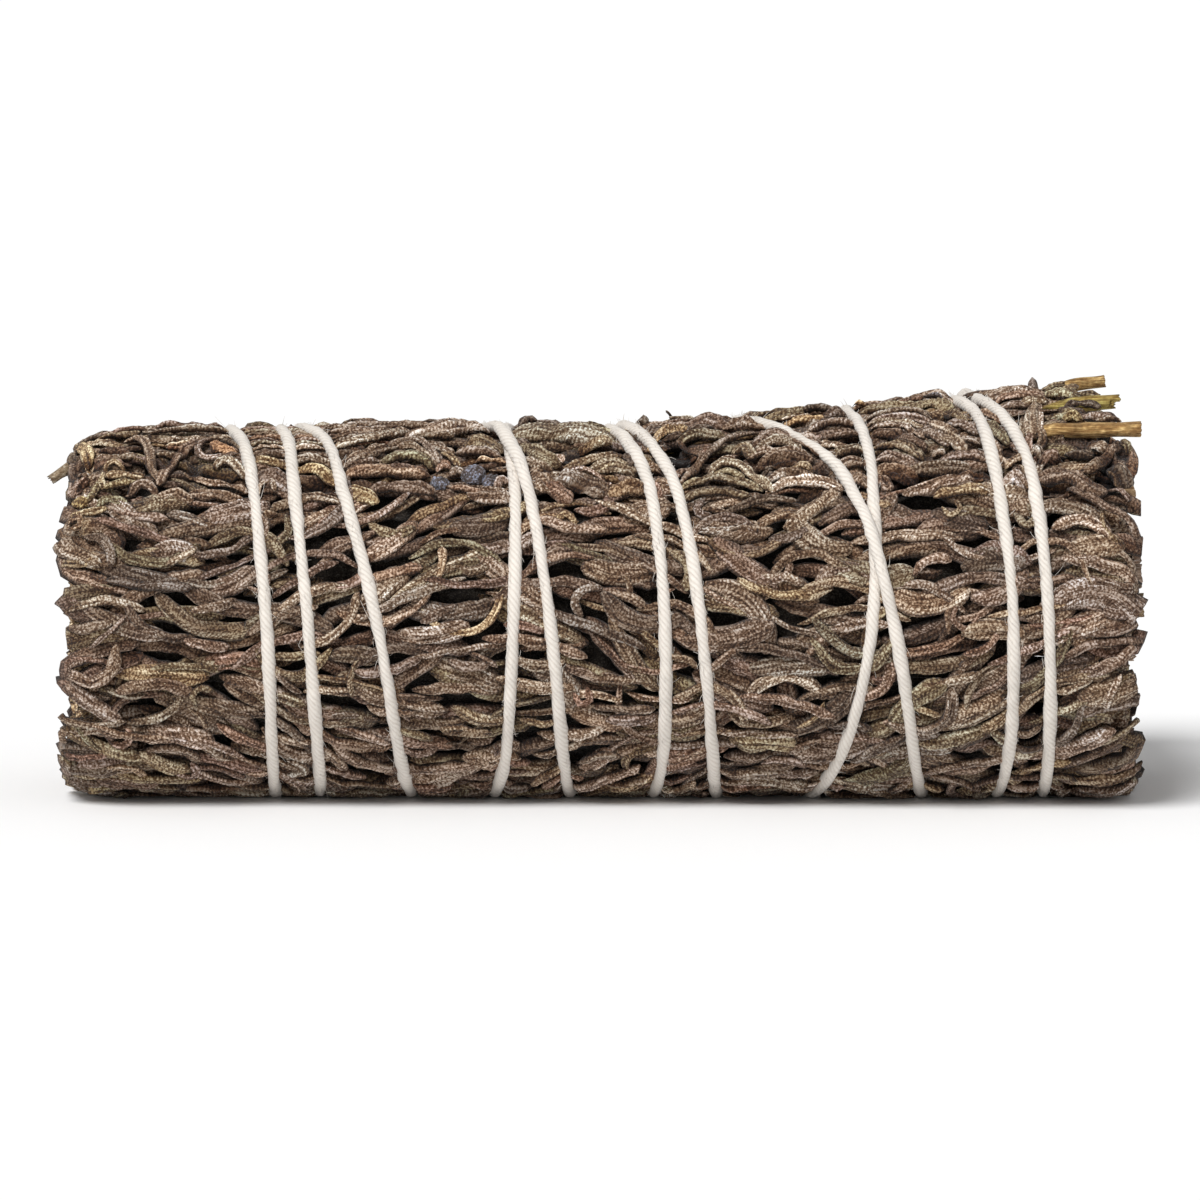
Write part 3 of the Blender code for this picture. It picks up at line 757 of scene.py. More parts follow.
    ("broad", "olive", 4.1, (-8.6, 6, -0.1), (-5.2, 6, 0.15), (-1.6, 8, 0.1), (1.8, 11.5, -0.2)),
    ("roll", "dark", 0.8, (-7.5, -3, 0.2), (-6.6, -6, 0.7), (-5.7, -5, 0.5)),
    ("roll", "dark", 0.7, (-5.9, -5, 0.35), (-5.0, -6, 0.55), (-2.5, -4, 0.1)),
    ("roll", "dark", 0.5, (-2.1, -5, 0.2), (-1.2, -5, 0.3), (-0.5, -4, 0.1)),
    ("roll", "olive", 0.7, (-1.2, -3, 0.1), (0.4, -3, 0.15), (1.6, 0)),
    ("roll", "olive", 1.6, (-7.6, 20, -0.1), (-5.8, 23, 0.2), (-4.6, 27.5, 0.25), (-3.4, 31, 0.1)),
    ("roll", "pale", 0.6, (-4.1, 28, 0.4), (-3.5, 27, 0.45), (-3.2, 30, 0.35)),
    ("roll", "grey", 1.2, (-7.4, 27, -0.1), (-5.4, 31, 0.1), (-3.4, 36)),
    ("broad", "pink", 2.5, (-7.2, 31, -0.1), (-5.6, 36, 0.2), (-4.0, 42, 0.1)),
    ("broad", "rust", 1.7, (-5.4, 38), (-4.0, 41, 0.25), (-2.4, 46)),
    ("roll", "gold", 0.95, (-3.2, 31, -0.1), (-0.9, 28.5, 0.1), (1.0, 26, 0.1), (2.6, 25, -0.1)),
    ("roll", "pale", 0.45, (-3.3, 33, 0.25), (-1.2, 33, 0.35), (0.3, 36, 0.3), (1.5, 40.5, 0.15)),
    ("broad", "brown", 2.8, (-4.4, 34.5, -0.1), (-1.4, 37.5, 0.1), (1.4, 42.5, -0.1)),
    ("broad", "gold", 1.6, (-1.8, 19, -0.3), (0.0, 16, -0.05), (1.6, 14.5, -0.3)),
    ("roll", "dark", 0.9, (2.6, 25), (3.4, 28, 0.2), (2.8, 32)),
    ("broad", "olive", 2.1, (-0.6, 32, -0.1), (1.6, 31, 0.15), (4.0, 33, -0.1)),
    ("roll", "ochre", 0.45, (0.4, 33, 0.2), (1.8, 31, 0.3), (3.0, 30.5, 0.15)),
    ("broad", "gold", 2.2, (1.0, 43, -0.1), (2.8, 40, 0.15), (4.8, 40, -0.1)),
    ("roll", "rust", 0.7, (4.9, 36, -0.3), (5.8, 40, -0.2), (6.2, 45, -0.3)),
    ("roll", "dark", 1.0, (2.9, -3, 0.2), (3.9, -5, 0.75), (5.0, -4, 0.1)),
    ("roll", "grey", 0.85, (3.4, 3, -0.1), (6.0, 2, 0.1), (9.2, 4, -0.1)),
    ("broad", "dark", 1.7, (3.6, 8, -0.2), (5.0, 9, 0.1), (6.4, 8, -0.1)),
    ("roll", "brown", 0.7, (5.8, -1), (8.0, -2, 0.05), (10.0, -3)),
    ("roll", "dark", 0.35, (7.4, -6, 0.35), (6.9, -6, 0.95), (6.7, -6, 1.25)),
    ("roll", "grey", 0.75, (7.0, -5, 0.45), (7.9, -5, 0.5), (9.6, -4)),
    ("broad", "straw", 1.15, (5.0, 21, -0.1), (5.8, 14, 0.15), (7.0, 10, 0.25), (8.9, 7, -0.05)),
    ("roll", "dark", 0.85, (6.4, 15, -0.3), (8.6, 12), (11.2, 8, -0.1)),
    ("roll", "olive", 1.05, (7.8, 17.5, -0.2), (10.0, 15, 0.05), (12.4, 17, -0.2)),
    ("broad", "brown", 2.6, (8.6, 5, -0.1), (10.6, 2, 0.2), (12.6, 7, -0.1)),
    ("roll", "dark", 1.0, (9.0, -4), (10.8, -4, 0.3), (12.4, 1, -0.1)),
    ("roll", "brown", 0.55, (7.7, 17, -0.1), (8.8, 22, 0.05), (10.5, 29, -0.1)),
    ("roll", "rust", 0.75, (8.8, 26, -0.6), (10.4, 24, -0.4), (12.0, 22, -0.5)),
    ("roll", "pink", 0.95, (7.0, 37, -0.1), (8.4, 34.5, 0.05), (9.8, 33, -0.3)),
    ("roll", "taupe", 0.9, (7.8, 40, -0.1), (9.6, 33, 0.2), (11.2, 26, 0.3), (12.8, 20.5, 0.25),
     (15.6, 16, -0.1)),
    ("roll", "moss", 0.95, (7.7, 42, -0.1), (10.0, 39.5, 0.2), (13.0, 40.5, 0.25), (16.0, 45, -0.05)),
    ("roll", "olive", 0.95, (7.9, 46, -0.1), (11.0, 44, 0.1), (14.8, 46.5, -0.1)),
    ("broad", "pink", 1.5, (12.1, 9, -0.1), (13.8, 6, 0.1), (16.4, 9, -0.1)),
    ("roll", "grey", 0.6, (11.6, 31, -0.1), (12.4, 30), (13.4, 31, -0.1)),
    ("roll", "olive", 1.1, (13.0, 28.5), (14.2, 26.5, 0.25), (15.2, 31, 0.05)),
    ("broad", "taupe", 2.3, (15.0, 25, -0.1), (17.2, 20.5, 0.2), (19.6, 22.5, 0.2), (21.6, 27, -0.1)),
    ("roll", "grey", 1.2, (15.2, 29), (16.9, 24.5, 0.35), (18.4, 26, 0.35), (19.6, 30, 0.1)),
    ("roll", "purple", 1.3, (18.6, 24, 0.1), (20.2, 26.5, 0.35), (21.6, 31, 0.05)),
    ("roll", "taupe", 1.0, (14.4, 31), (16.0, 29, 0.2), (17.4, 31, 0.1)),
    ("broad", "purple", 2.0, (15.2, 35, -0.1), (17.6, 31.5, 0.25), (20.8, 33.5)),
    ("roll", "grey", 1.1, (10.5, 38, -0.1), (11.8, 33.5, 0.2), (13.2, 33.5, 0.25),
     (14.9, 38.5, 0.2), (17.0, 45.5, -0.05)),
    ("roll", "olive", 0.85, (10.8, 40, -0.1), (12.4, 36.5, 0.1), (14.2, 40, -0.1)),
    ("roll", "gold", 0.9, (17.4, 37, -0.2), (19.4, 36), (21.0, 37.5, -0.3)),
    ("roll", "grey", 0.95, (16.1, 41.5, -0.1), (18.2, 39.5, 0.15), (21.2, 40.5, -0.1)),
    ("roll", "pale", 1.15, (16.2, 45.5, -0.1), (18.6, 42.5, 0.15), (21.0, 43, 0.15), (23.6, 46, -0.1)),
    ("roll", "olive", 1.0, (14.3, -2, 0.1), (17.0, -3, 0.15), (20.6, -4, 0.1)),
    ("roll", "olive", 0.95, (15.4, 3, -0.1), (17.6, 3, 0.1), (20.2, 2, -0.05)),
    ("roll", "dark", 1.0, (19.4, -3, 0.05), (21.4, -4, 0.3), (23.4, -2, 0.05)),
    ("roll", "pale", 0.5, (17.7, 7, 0.1), (19.0, 5.5, 0.15), (20.6, 4, 0.05)),
    ("roll", "straw", 0.85, (17.5, 12), (19.6, 10, 0.15), (22.0, 8, -0.05)),
    ("broad", "dark", 1.5, (21.8, 7, -0.1), (23.2, 5.5, 0.2), (24.8, 4, -0.1)),
    ("roll", "grey", 1.05, (20.4, 17.5, -0.1), (22.4, 14, 0.15), (25.2, 13, -0.1)),
    ("roll", "brown", 1.05, (21.6, 23, -0.1), (23.6, 22, 0.1), (26.0, 20, -0.1)),
    ("roll", "grey", 0.85, (21.4, 26), (23.0, 28, 0.1), (24.6, 31, -0.1)),
    ("roll", "olive", 1.05, (22.6, 31.5, -0.1), (24.6, 30.5, 0.1), (26.4, 30, -0.1)),
    ("roll", "brown", 1.1, (23.0, 36, -0.1), (24.6, 36), (26.4, 37, -0.1)),
    ("roll", "taupe", 1.3, (23.8, 42, -0.1), (25.0, 43, 0.1), (26.4, 46, -0.1)),
    # the flow of long rolls between the turns on the right
    ("roll", "straw", 0.7, (24.1, -6, 0.95), (24.8, -6, 0.75), (26.0, -5, 0.1)),
    ("roll", "grey", 0.5, (25.6, -5, 0.2), (26.6, -5, 0.2), (28.0, -5)),
    ("roll", "dark", 0.65, (27.4, -4), (28.6, -5, 0.3), (29.8, -5, 0.4)),
    ("broad", "pink", 2.4, (28.6, 1, -0.2), (30.6, -3, 0.15), (33.0, -4, 0.25), (35.2, 0, -0.1)),
    ("roll", "red", 0.8, (28.8, 2), (30.2, 0, 0.3), (31.6, -1, 0.3)),
    ("roll", "blue", 0.5, (31.4, -1, 0.45), (32.3, -1, 0.5), (33.4, 0, 0.35)),
    ("roll", "olive", 1.1, (25.0, 4, -0.05), (28.0, 4, 0.1), (31.2, 5, 0.05)),
    ("broad", "olive", 2.0, (29.8, 6, -0.1), (32.2, 5, 0.2), (34.4, 10, -0.1)),
    ("roll", "grey", 0.95, (25.2, 13, -0.05), (27.4, 11, 0.1), (29.6, 11, 0.2), (31.4, 13, 0.2),
     (32.3, 18)),
    ("roll", "purple", 0.85, (26.0, 15.5, -0.1), (28.2, 14.3, 0.1), (30.2, 15.5, 0.1), (32.2, 20, -0.1)),
    ("roll", "pale", 0.6, (25.8, 17.5, 0.05), (27.4, 16.5, 0.15), (29.2, 18.5, 0.2), (31.4, 23, 0.05)),
    ("roll", "grey", 0.65, (26.0, 20), (28.0, 19.8, 0.15), (29.8, 22.8, 0.2), (31.4, 28.5)),
    ("roll", "brown", 0.9, (26.4, 23), (28.2, 23, 0.05), (29.8, 27, 0.1), (31.6, 33)),
    ("roll", "olive", 1.1, (26.2, 29.5, -0.1), (28.0, 30, 0.15), (29.8, 32.5, 0.15), (31.3, 37, -0.1)),
    ("roll", "purple", 1.2, (26.6, 35.5, -0.1), (28.4, 36, 0.1), (30.8, 40.5, -0.1)),
    ("broad", "rust", 2.2, (26.6, 39, -0.2), (28.8, 40.5), (30.8, 44, -0.2)),
    ("roll", "purple", 1.05, (31.2, 24.5), (32.6, 29, 0.15), (33.9, 33, 0.05)),
    ("roll", "taupe", 0.9, (31.9, 20), (33.4, 25, 0.15), (34.8, 29.5)),
    ("roll", "grey", 1.35, (32.8, 27.5), (34.1, 31, 0.2), (35.3, 37)),
    ("roll", "olive", 0.85, (33.4, 12.5), (34.7, 17, 0.1), (35.5, 24)),
    ("roll", "purple", 0.9, (33.6, 21, -0.05), (35.0, 24, 0.15), (36.5, 28)),
    ("roll", "grey", 0.65, (34.2, 29, 0.1), (35.4, 31, 0.2), (36.8, 32.5)),
    ("roll", "grey", 0.6, (32.1, 36), (32.8, 35.6, 0.1), (33.4, 36)),
    ("roll", "brown", 1.0, (32.8, 38, -0.1), (34.8, 37.8, 0.1), (37.4, 39, -0.1)),
    ("roll", "brown", 1.4, (29.4, 41.5, -0.2), (32.2, 41, 0.1), (35.8, 42.5, -0.1)),
    ("roll", "taupe", 1.3, (29.2, 49.5, -0.1), (32.0, 47.5, 0.1), (34.6, 45.5, 0.15),
     (37.4, 44.5, -0.1)),
    ("roll", "gold", 1.1, (32.2, 51.5, -0.1), (35.0, 50, 0.1), (37.6, 51, -0.1)),
    ("roll", "taupe", 1.25, (26.7, 42, -0.1), (27.6, 44, 0.15), (28.0, 48.5)),
    ("roll", "dark", 0.4, (34.5, -5, 0.7), (35.3, -5, 0.6), (36.0, -4, 0.2)),
    ("roll", "dark", 0.55, (36.7, -4), (36.3, -5, 0.6), (36.0, -5, 1.1)),
    # between the last two turns and out to the cut stems
    ("roll", "olive", 1.05, (37.0, 21, -0.1), (38.2, 27, 0.1), (39.4, 33.5, -0.1)),
    ("roll", "grey", 0.85, (37.1, 27, -0.1), (37.9, 32), (38.8, 38, -0.1)),
    ("roll", "rust", 0.8, (36.9, 13, -0.1), (38.0, 18), (39.0, 22, -0.1)),
    ("broad", "pink", 1.1, (38.0, 36.5, -0.1), (38.7, 39, 0.1), (39.4, 42)),
    ("roll", "gold", 0.85, (39.1, 43), (40.2, 40, 0.1), (40.9, 37.5)),
    ("broad", "grey", 1.7, (38.8, 49, -0.1), (40.1, 46, 0.15), (41.2, 50, -0.1)),
    ("roll", "brown", 0.85, (40.5, 42), (41.2, 46, 0.1), (41.5, 51)),
    ("roll", "dark", 1.1, (36.6, 43, -0.2), (37.6, 46, -0.1), (38.4, 50, -0.2)),
    ("roll", "dark", 0.5, (36.6, -4, 0.2), (37.4, -4, 0.3), (38.2, -4, 0.1)),
    ("broad", "pink", 2.4, (37.3, 2, -0.1), (40.0, -2, 0.3), (43.2, 0, 0.1)),
    ("broad", "red", 1.6, (37.9, 8, -0.1), (40.2, 5.5, 0.25), (43.2, 6)),
    ("roll", "purple", 1.05, (38.4, 11.5, -0.1), (40.2, 12, 0.1), (41.8, 14)),
    ("roll", "pink", 0.95, (40.8, 14, 0.1), (42.2, 11.5, 0.35), (43.5, 12.5, 0.15)),
    ("roll", "dark", 0.8, (39.4, 24, -0.3), (40.4, 20, -0.2), (41.4, 17, -0.3)),
    ("broad", "grey", 1.9, (42.3, 12.5, 0.1), (42.0, 21, 0.3), (41.8, 32, 0.2)),
    ("roll", "pale", 0.45, (42.7, 14, 0.2), (42.75, 22, 0.35), (42.7, 31, 0.2)),
    ("roll", "olive", 0.8, (40.9, 18, -0.1), (40.9, 25, 0.05), (40.6, 32, -0.1)),
    ("roll", "grey", 0.95, (42.2, 28, 0.2), (42.7, 32, 0.35), (42.3, 36.5, 0.1)),
    ("roll", "taupe", 0.8, (41.6, 30, 0.1), (41.3, 34, 0.2), (41.4, 37.5, 0.1)),
    ("roll", "grey", 1.0, (41.2, 39), (42.0, 36.5, 0.3), (42.6, 39.5, 0.1)),
    ("roll", "grey", 0.85, (41.5, 40.5), (42.3, 42.5, 0.2), (42.1, 46)),
    ("broad", "dark", 1.0, (42.3, -3, 0.1), (42.2, -6, 0.6), (42.1, -8, 1.25)),
    ("roll", "olive", 0.8, (43.0, -4, 0.2), (44.2, -6, 0.7), (45.4, -7, 0.95)),
    ("roll", "moss", 0.7, (43.2, -1, 0.1), (44.4, -3, 0.45), (46.2, -4, 0.5)),
    ("broad", "olive", 2.2, (43.1, 2, -0.1), (44.8, 1, 0.2), (46.6, 3, -0.1)),
    ("broad", "ochre", 1.1, (44.5, 0, 0.2), (45.5, -1, 0.5), (46.5, -3, 0.6)),
    ("roll", "olive", 0.6, (45.6, 1, -0.1), (47.0, 1, 0.05), (48.6, 1, -0.1)),
    ("roll", "dark", 0.75, (44.5, 15), (46.0, 13.5, 0.1), (47.4, 13.8, 0.1), (48.5, 15)),
    ("roll", "dark", 0.85, (43.3, 16, -0.3), (45.4, 16, -0.1), (47.2, 17.5, -0.3)),
    ("broad", "brown", 2.0, (45.8, 19.5, -0.5), (47.8, 19, -0.3), (50.1, 21, -0.4)),
    ("roll", "grey", 0.65, (47.9, 23, -0.2), (49.2, 22), (50.4, 23, -0.1)),
    ("broad", "olive", 1.7, (42.9, 21.5, -0.2), (44.8, 20, 0.1), (46.4, 21)),
    ("broad", "ochre", 1.1, (44.7, 23.5), (45.7, 22, 0.25), (46.6, 24, 0.1)),
    ("roll", "rust", 0.6, (42.7, 25.5, -0.1), (43.7, 25), (44.8, 25, -0.2)),
    ("roll", "taupe", 1.2, (42.4, 42, -0.2), (43.3, 38.5, 0.1), (44.3, 38.5, -0.1)),
    ("roll", "dark", 1.2, (44.8, 36, -0.4), (46.3, 37.5, -0.1), (47.6, 39, -0.3)),
    ("broad", "taupe", 1.7, (46.9, 33, -0.2), (48.0, 35, 0.1), (49.0, 37, -0.1)),
    ("roll", "brown", 0.9, (45.5, 43.5, -0.1), (46.8, 44.3, 0.15), (48.0, 42, 0.25),
     (49.2, 37.5, 0.2), (50.3, 32.5, -0.1)),
    ("broad", "dark", 2.2, (48.8, 43, -0.2), (50.0, 44.5, 0.1), (50.7, 50, -0.1)),
    ("roll", "grey", 0.5, (49.3, 41.5), (50.1, 42.5, 0.25), (50.6, 47, 0.1)),
    ("roll", "olive", 0.5, (48.9, 44.5), (49.5, 46, 0.2), (49.7, 49.5, 0.1)),
    ("broad", "dark", 3.0, (49.9, 30, -1.0), (50.1, 38, -0.8), (50.1, 47, -1.0)),
    ("broad", "umber", 1.3, (51.0, 32.5, -0.7), (51.2, 38, -0.4), (51.0, 45, -0.6)),
    ("roll", "olive", 0.7, (50.2, 31.5, -0.2), (50.8, 33.5), (51.0, 36.5, -0.2)),
    ("roll", "brown", 1.6, (41.9, 47.5, -0.1), (43.8, 46.5, 0.15), (45.3, 47, 0.2),
     (46.8, 49.8, 0.1), (48.8, 52.5, -0.1)),
)
# The hollows between those leaves, which push them in and darken them with painted shade: x, angle, half the
# length along x and half the width, in mm.
HOLLOWS = (
    (-49.0, 24, 1.2, 1.2), (-44.3, 28.5, 1.1, 0.8), (-45.6, 40, 1.2, 0.5), (-41.5, 27, 1.0, 1.4),
    (-39.4, 6, 4.0, 0.8), (-46.0, 18.5, 1.2, 0.5), (-38.6, 30, 0.7, 1.3), (-37.1, 21, 0.5, 0.8),
    (-36.3, 33.5, 1.5, 0.9), (-34.8, 36.5, 0.9, 0.8), (-27.0, 38.5, 1.6, 0.8), (-31.5, 24.5, 1.6, 0.3),
    (-27.6, 22.5, 1.4, 0.25), (-23.6, 23, 1.4, 0.6), (-21.0, 20, 1.4, 0.5), (-19.2, 17.5, 0.9, 0.45),
    (-17.2, 6, 0.9, 0.5), (-19.0, 31.5, 3.6, 0.3), (-19.4, 38, 3.4, 0.35), (-14.0, 17.5, 1.4, 0.8),
    (-11.2, 11, 0.8, 0.4), (-12.4, 28, 0.8, 0.4), (-4.6, 18.5, 1.8, 0.9), (-2.6, 22, 1.9, 1.2),
    (1.7, 21, 1.2, 0.8), (1.6, 37, 0.9, 0.5), (7.8, 24.5, 1.8, 1.9), (10.0, 36, 0.7, 0.9),
    (15.6, 37.5, 0.6, 0.6), (21.5, 37.5, 0.9, 0.9), (18.4, 35, 0.8, 0.4), (23.6, 19, 1.6, 0.4),
    (23.8, 26, 1.4, 0.4), (19.6, 47, 1.8, 0.4), (33.1, 15, 1.1, 0.7), (27.6, 26.5, 1.5, 0.9),
    (31.8, 37.3, 0.8, 0.6), (29.6, 45, 2.2, 0.8), (33.5, 44, 2.4, 0.4),
    (40.2, 20, 0.8, 0.9), (39.3, 37, 0.6, 0.7), (37.4, 44, 0.8, 1.0), (45.4, 34.5, 2.4, 0.8),
    (45.8, 41, 1.4, 0.9), (49.0, 41.5, 0.9, 1.0), (48.6, 47.5, 1.7, 1.1), (43.6, 18, 1.0, 0.8),
    (47.8, 17.5, 1.6, 0.5), (43.6, 50.5, 1.6, 0.5), (50.4, 37, 0.6, 0.8), (45.0, 32.3, 2.6, 0.5),
    (49.6, 33, 1.0, 0.6), (44.6, 41.5, 0.9, 0.8), (-49.2, 34.5, 0.5, 0.7), (-45.5, 29.5, 1.6, 0.5),
    (-40.2, 22.5, 1.3, 0.5), (-43.6, 6, 1.2, 0.4), (-27.2, 30, 1.5, 0.3), (-31.6, 31.5, 1.4, 0.3),
    (-23.0, 38.2, 1.6, 0.4), (8.6, 30, 0.9, 1.2), (9.4, 12, 1.4, 0.4), (17.5, 33.5, 2.4, 0.35),
    (4.4, 35.5, 0.9, 0.9), (-5.2, 15.5, 2.0, 0.5), (26.0, 33.5, 0.8, 0.5), (29.0, 24.8, 1.6, 0.35),
    (43.6, 34.5, 1.2, 0.7), (45.8, 44.0, 1.0, 0.5), (-2.0, 40.5, 1.2, 0.6), (36.4, 45, 0.6, 0.8),
    (28.4, 42, 1.2, 0.45), (7.0, 31, 0.8, 0.7), (44.8, 14.5, 0.8, 0.4), (-48.2, 32, 0.6, 0.4),
    (19.0, 40, 0.8, 0.4), (42.4, 41, 0.4, 0.6), (-4.6, 33, 1.0, 0.5), (31.5, 33.5, 1.0, 0.3),
)
# The part of the front that those rows cover: low x, high x, low angle, high angle. The random leaves
# there are only the fillers and the under layer, deep between the rows.
FRONT_PATCH = (-50.5, 51.5, -9, 48)


def hollow_at(x, s):
    """How far a place lies in one of the hollows of the upper front, which are darkened with painted shade:
    1 in its middle, 0 outside.
    """
    deepest = np.zeros(np.shape(x))
    for middle, angle, long, wide in HOLLOWS:
        off = ((x - middle) / long) ** 2 + ((s - angle * DEGREE) / wide) ** 2
        deepest = np.maximum(deepest, np.exp(-0.7 * off**2))
    return deepest


def heading_at(x, s):
    """The way the leaves lie at a place, in radians from +X: two slow swirls, judged."""
    return 0.30 * np.sin(x / 8.0 + 1.3 * np.sin(s / 11.0)) + 0.26 * np.sin(s / 5.5 + x / 17.0 + 2.0)


def spray_of(angle):
    """The outer spray that a place belongs to: the nearest one."""
    angle = (angle + 10) % 360 - 10
    middles = [(low + high) / 2 for low, high in SPRAYS]
    gaps = [min(abs(angle - m), 360 - abs(angle - m)) for m in middles]
    return int(np.argmin(gaps))


def in_front_patch(x, s):
    low_x, high_x, low, high = FRONT_PATCH
    angle = (s / DEGREE + 180) % 360 - 180
    return (low_x < x) & (x < high_x) & (low < angle) & (angle < high)


def off_front_patch(x, s):
    return ~in_front_patch(x, s)


TRIES = 30  # random places that each new leaf chooses from


def scatter(rng, count, long, wide, keep_out=None):
    """Places for leaves all round the bundle, each the loneliest of a few random tries."""
    round_it = 2 * np.pi * SKIN_RADIUS
    chosen = np.empty((0, 2))
    while len(chosen) < count:
        s = rng.uniform(0, round_it, TRIES)
        x = rng.uniform(LEFT_END + 1.0, right_end(s / DEGREE) - 1.0)
        if keep_out is not None:
            free = ~keep_out(x, s)
            x, s = x[free], s[free]
            if not len(x):
                continue
        best = 0
        if len(chosen):
            dx = x[:, None] - chosen[None, :, 0]
            ds = s[:, None] - chosen[None, :, 1]
            ds -= round_it * np.round(ds / round_it)
            turn = heading_at(x, s)[:, None]
            ahead = dx * np.cos(turn) + ds * np.sin(turn)
            aside = -dx * np.sin(turn) + ds * np.cos(turn)
            best = int(np.argmax(np.min((ahead / long) ** 2 + (aside / wide) ** 2, axis=1)))
        chosen = np.vstack([chosen, (x[best], s[best])])
    return chosen


def random_stations(rng, x, s, long, heading, heights, bend=None):
    """A bent path through a place, with one end tucked under; cut off at the bundle's ends."""
    bend = rng.normal(0, 0.4) if bend is None else bend
    h = rng.uniform(*heights)
    slope = either_way(rng, 0.1, 0.5)
    stations = []
    for step in np.linspace(-0.5, 0.5, 4):
        turned = heading + bend * step
        px = x + long * step * math.cos(turned)
        ps = s + long * step * math.sin(turned)
        stations.append([px, ps, h + slope * step - 0.8 * step**2])
    return cut_at_ends(rng, np.array(stations), s / DEGREE)


def cut_at_ends(rng, stations, angle):
    """Moves stations past an end of the bundle back to it; also says which of the path's ends are cut."""
    cut = [False, False]
    for edge, beyond in ((left_end(angle), -1), (right_end(angle), 1)):
        limit = float(edge) + rng.uniform(-0.5, 0.6)
        out = (stations[:, 0] - limit) * beyond > 0
        if out.any():
            stations[out, 0] = limit - beyond * 0.01 * np.arange(out.sum())
            cut[0 if stations[0, 0] * beyond > stations[-1, 0] * beyond else 1] = True
    keep = np.concatenate([[True], np.linalg.norm(np.diff(stations, axis=0), axis=1) > 0.3])
    return stations[keep], tuple(cut)


LEAF_MIX = ("taupe", "taupe", "brown", "brown", "purple", "grey")
LEAF_MIX += ("grey", "pink", "olive", "dark", "gold", "rust")
LOOSE_MIX = ("grey", "purple", "taupe", "olive", "rust", "gold")
UNDER_MIX = ("brown", "taupe", "purple", "olive")
# How many leaves each random layer has.
FILLERS, BROAD_LEAVES, ROLLS, LOOSE_TIPS, UNDER_LEAVES = 190, 230, 680, 110, 640
STRAY_SHARE, HOOKED_SHARE = 0.3, 0.5


def lay_at(clusters, rng, kind, spot, size, turn, heights, bend=None, mix=LEAF_MIX, detail="plain"):
    """Lays a random leaf: size is its length and width, turn how far it is off its neighbours' heading."""
    x, s = spot
    long, width = size
    heading = float(heading_at(x, s)) + turn
    stations, cut = random_stations(rng, x, s, long, heading, heights, bend)
    if len(stations) > 2:
        cluster = clusters[spray_of(s / DEGREE)]
        lay_leaf(cluster, rng, kind, stations, width, rng.choice(mix), detail, cut)


def make_outer_leaves(clusters):
    """The leaves that show all round: the front's own rows, then random ones for the rest."""
    rng = np.random.default_rng(SEED)
    for kind, colour, width, *rows in FRONT_LEAVES:
        stations = [flat(*row) for row in rows]
        middle = stations[len(stations) // 2]
        lay_leaf(clusters[spray_of(middle[1] / DEGREE)], rng, kind, stations, width, colour, "fine")
    for spot in scatter(rng, FILLERS, 3.0, 0.8, off_front_patch):
        size = rng.uniform(5, 10), rng.uniform(0.7, 1.2)
        lay_at(clusters, rng, "roll", spot, size, rng.normal(0, 0.2), (-1.15, -0.7))
    for spot in scatter(rng, BROAD_LEAVES, 3.4, 1.6, in_front_patch):
        size = rng.uniform(5, 11), rng.uniform(1.6, 3.3)
        lay_at(clusters, rng, "broad", spot, size, rng.normal(0, 0.35), (-0.85, -0.25))
    for spot in scatter(rng, ROLLS, 3.2, 0.75, in_front_patch):
        stray = rng.random() < STRAY_SHARE
        size = rng.uniform(4, 12), rng.uniform(0.6, 1.3)
        turn = rng.normal(0, 0.45 if stray else 0.13)
        bend = either_way(rng, 0.5, 1.4) if stray else rng.normal(0, 0.35)
        lay_at(clusters, rng, "roll", spot, size, turn, (-0.65, -0.05), bend)
    for spot in scatter(rng, LOOSE_TIPS, 3.0, 3.0, in_front_patch):
        hooked = rng.random() < HOOKED_SHARE
        size = rng.uniform(3, 5.5), rng.uniform(0.5, 0.95)
        turn = either_way(rng, 0.4, 1.3)
        bend = either_way(rng, 1.2, 2.4) if hooked else rng.normal(0, 0.6)
        lay_at(clusters, rng, "roll", spot, size, turn, (-0.2, 0.05), bend, LOOSE_MIX)
    for spot in scatter(rng, UNDER_LEAVES, 3.0, 0.9):
        size = rng.uniform(7, 12), rng.uniform(1.4, 2.3)
        turn = rng.normal(0, 0.3)
        lay_at(clusters, rng, "roll", spot, size, turn, (-1.6, -0.95), mix=UNDER_MIX, detail="under")


END_ROLLS = 270  # at each end
END_ROLL_LENGTH = 5.5
END_ROLL_WIDTHS = (1.7, 2.7)
END_TRIES = 24  # random places that each new one chooses from
END_MARGIN = 1.2  # between the envelope and the outermost ones
END_DOME = 1.5  # how far an end's rim is drawn in
END_RAGGED = 1.7  # how unevenly its rolls are cut
END_TONES = {-1: ("olive", "taupe", "pink", "brown", "grey"), 1: ("taupe", "brown", "dark", "olive")}
CUT_TONES = {-1: "ochre", 1: "grey"}


def spread_over_end(rng, reach):
    """Places (y, up) all over a round end, each the loneliest of a few random tries."""
    centres = [(0.0, 0.0)]
    while len(centres) < END_ROLLS:
        tries = rng.uniform(-reach, reach, (END_TRIES, 2))
        tries = tries[np.hypot(*tries.T) < reach]
        apart = np.min(np.linalg.norm(tries[:, None] - np.array(centres)[None], axis=2), axis=1)
        centres.append(tuple(tries[int(np.argmax(apart))]))
    return centres


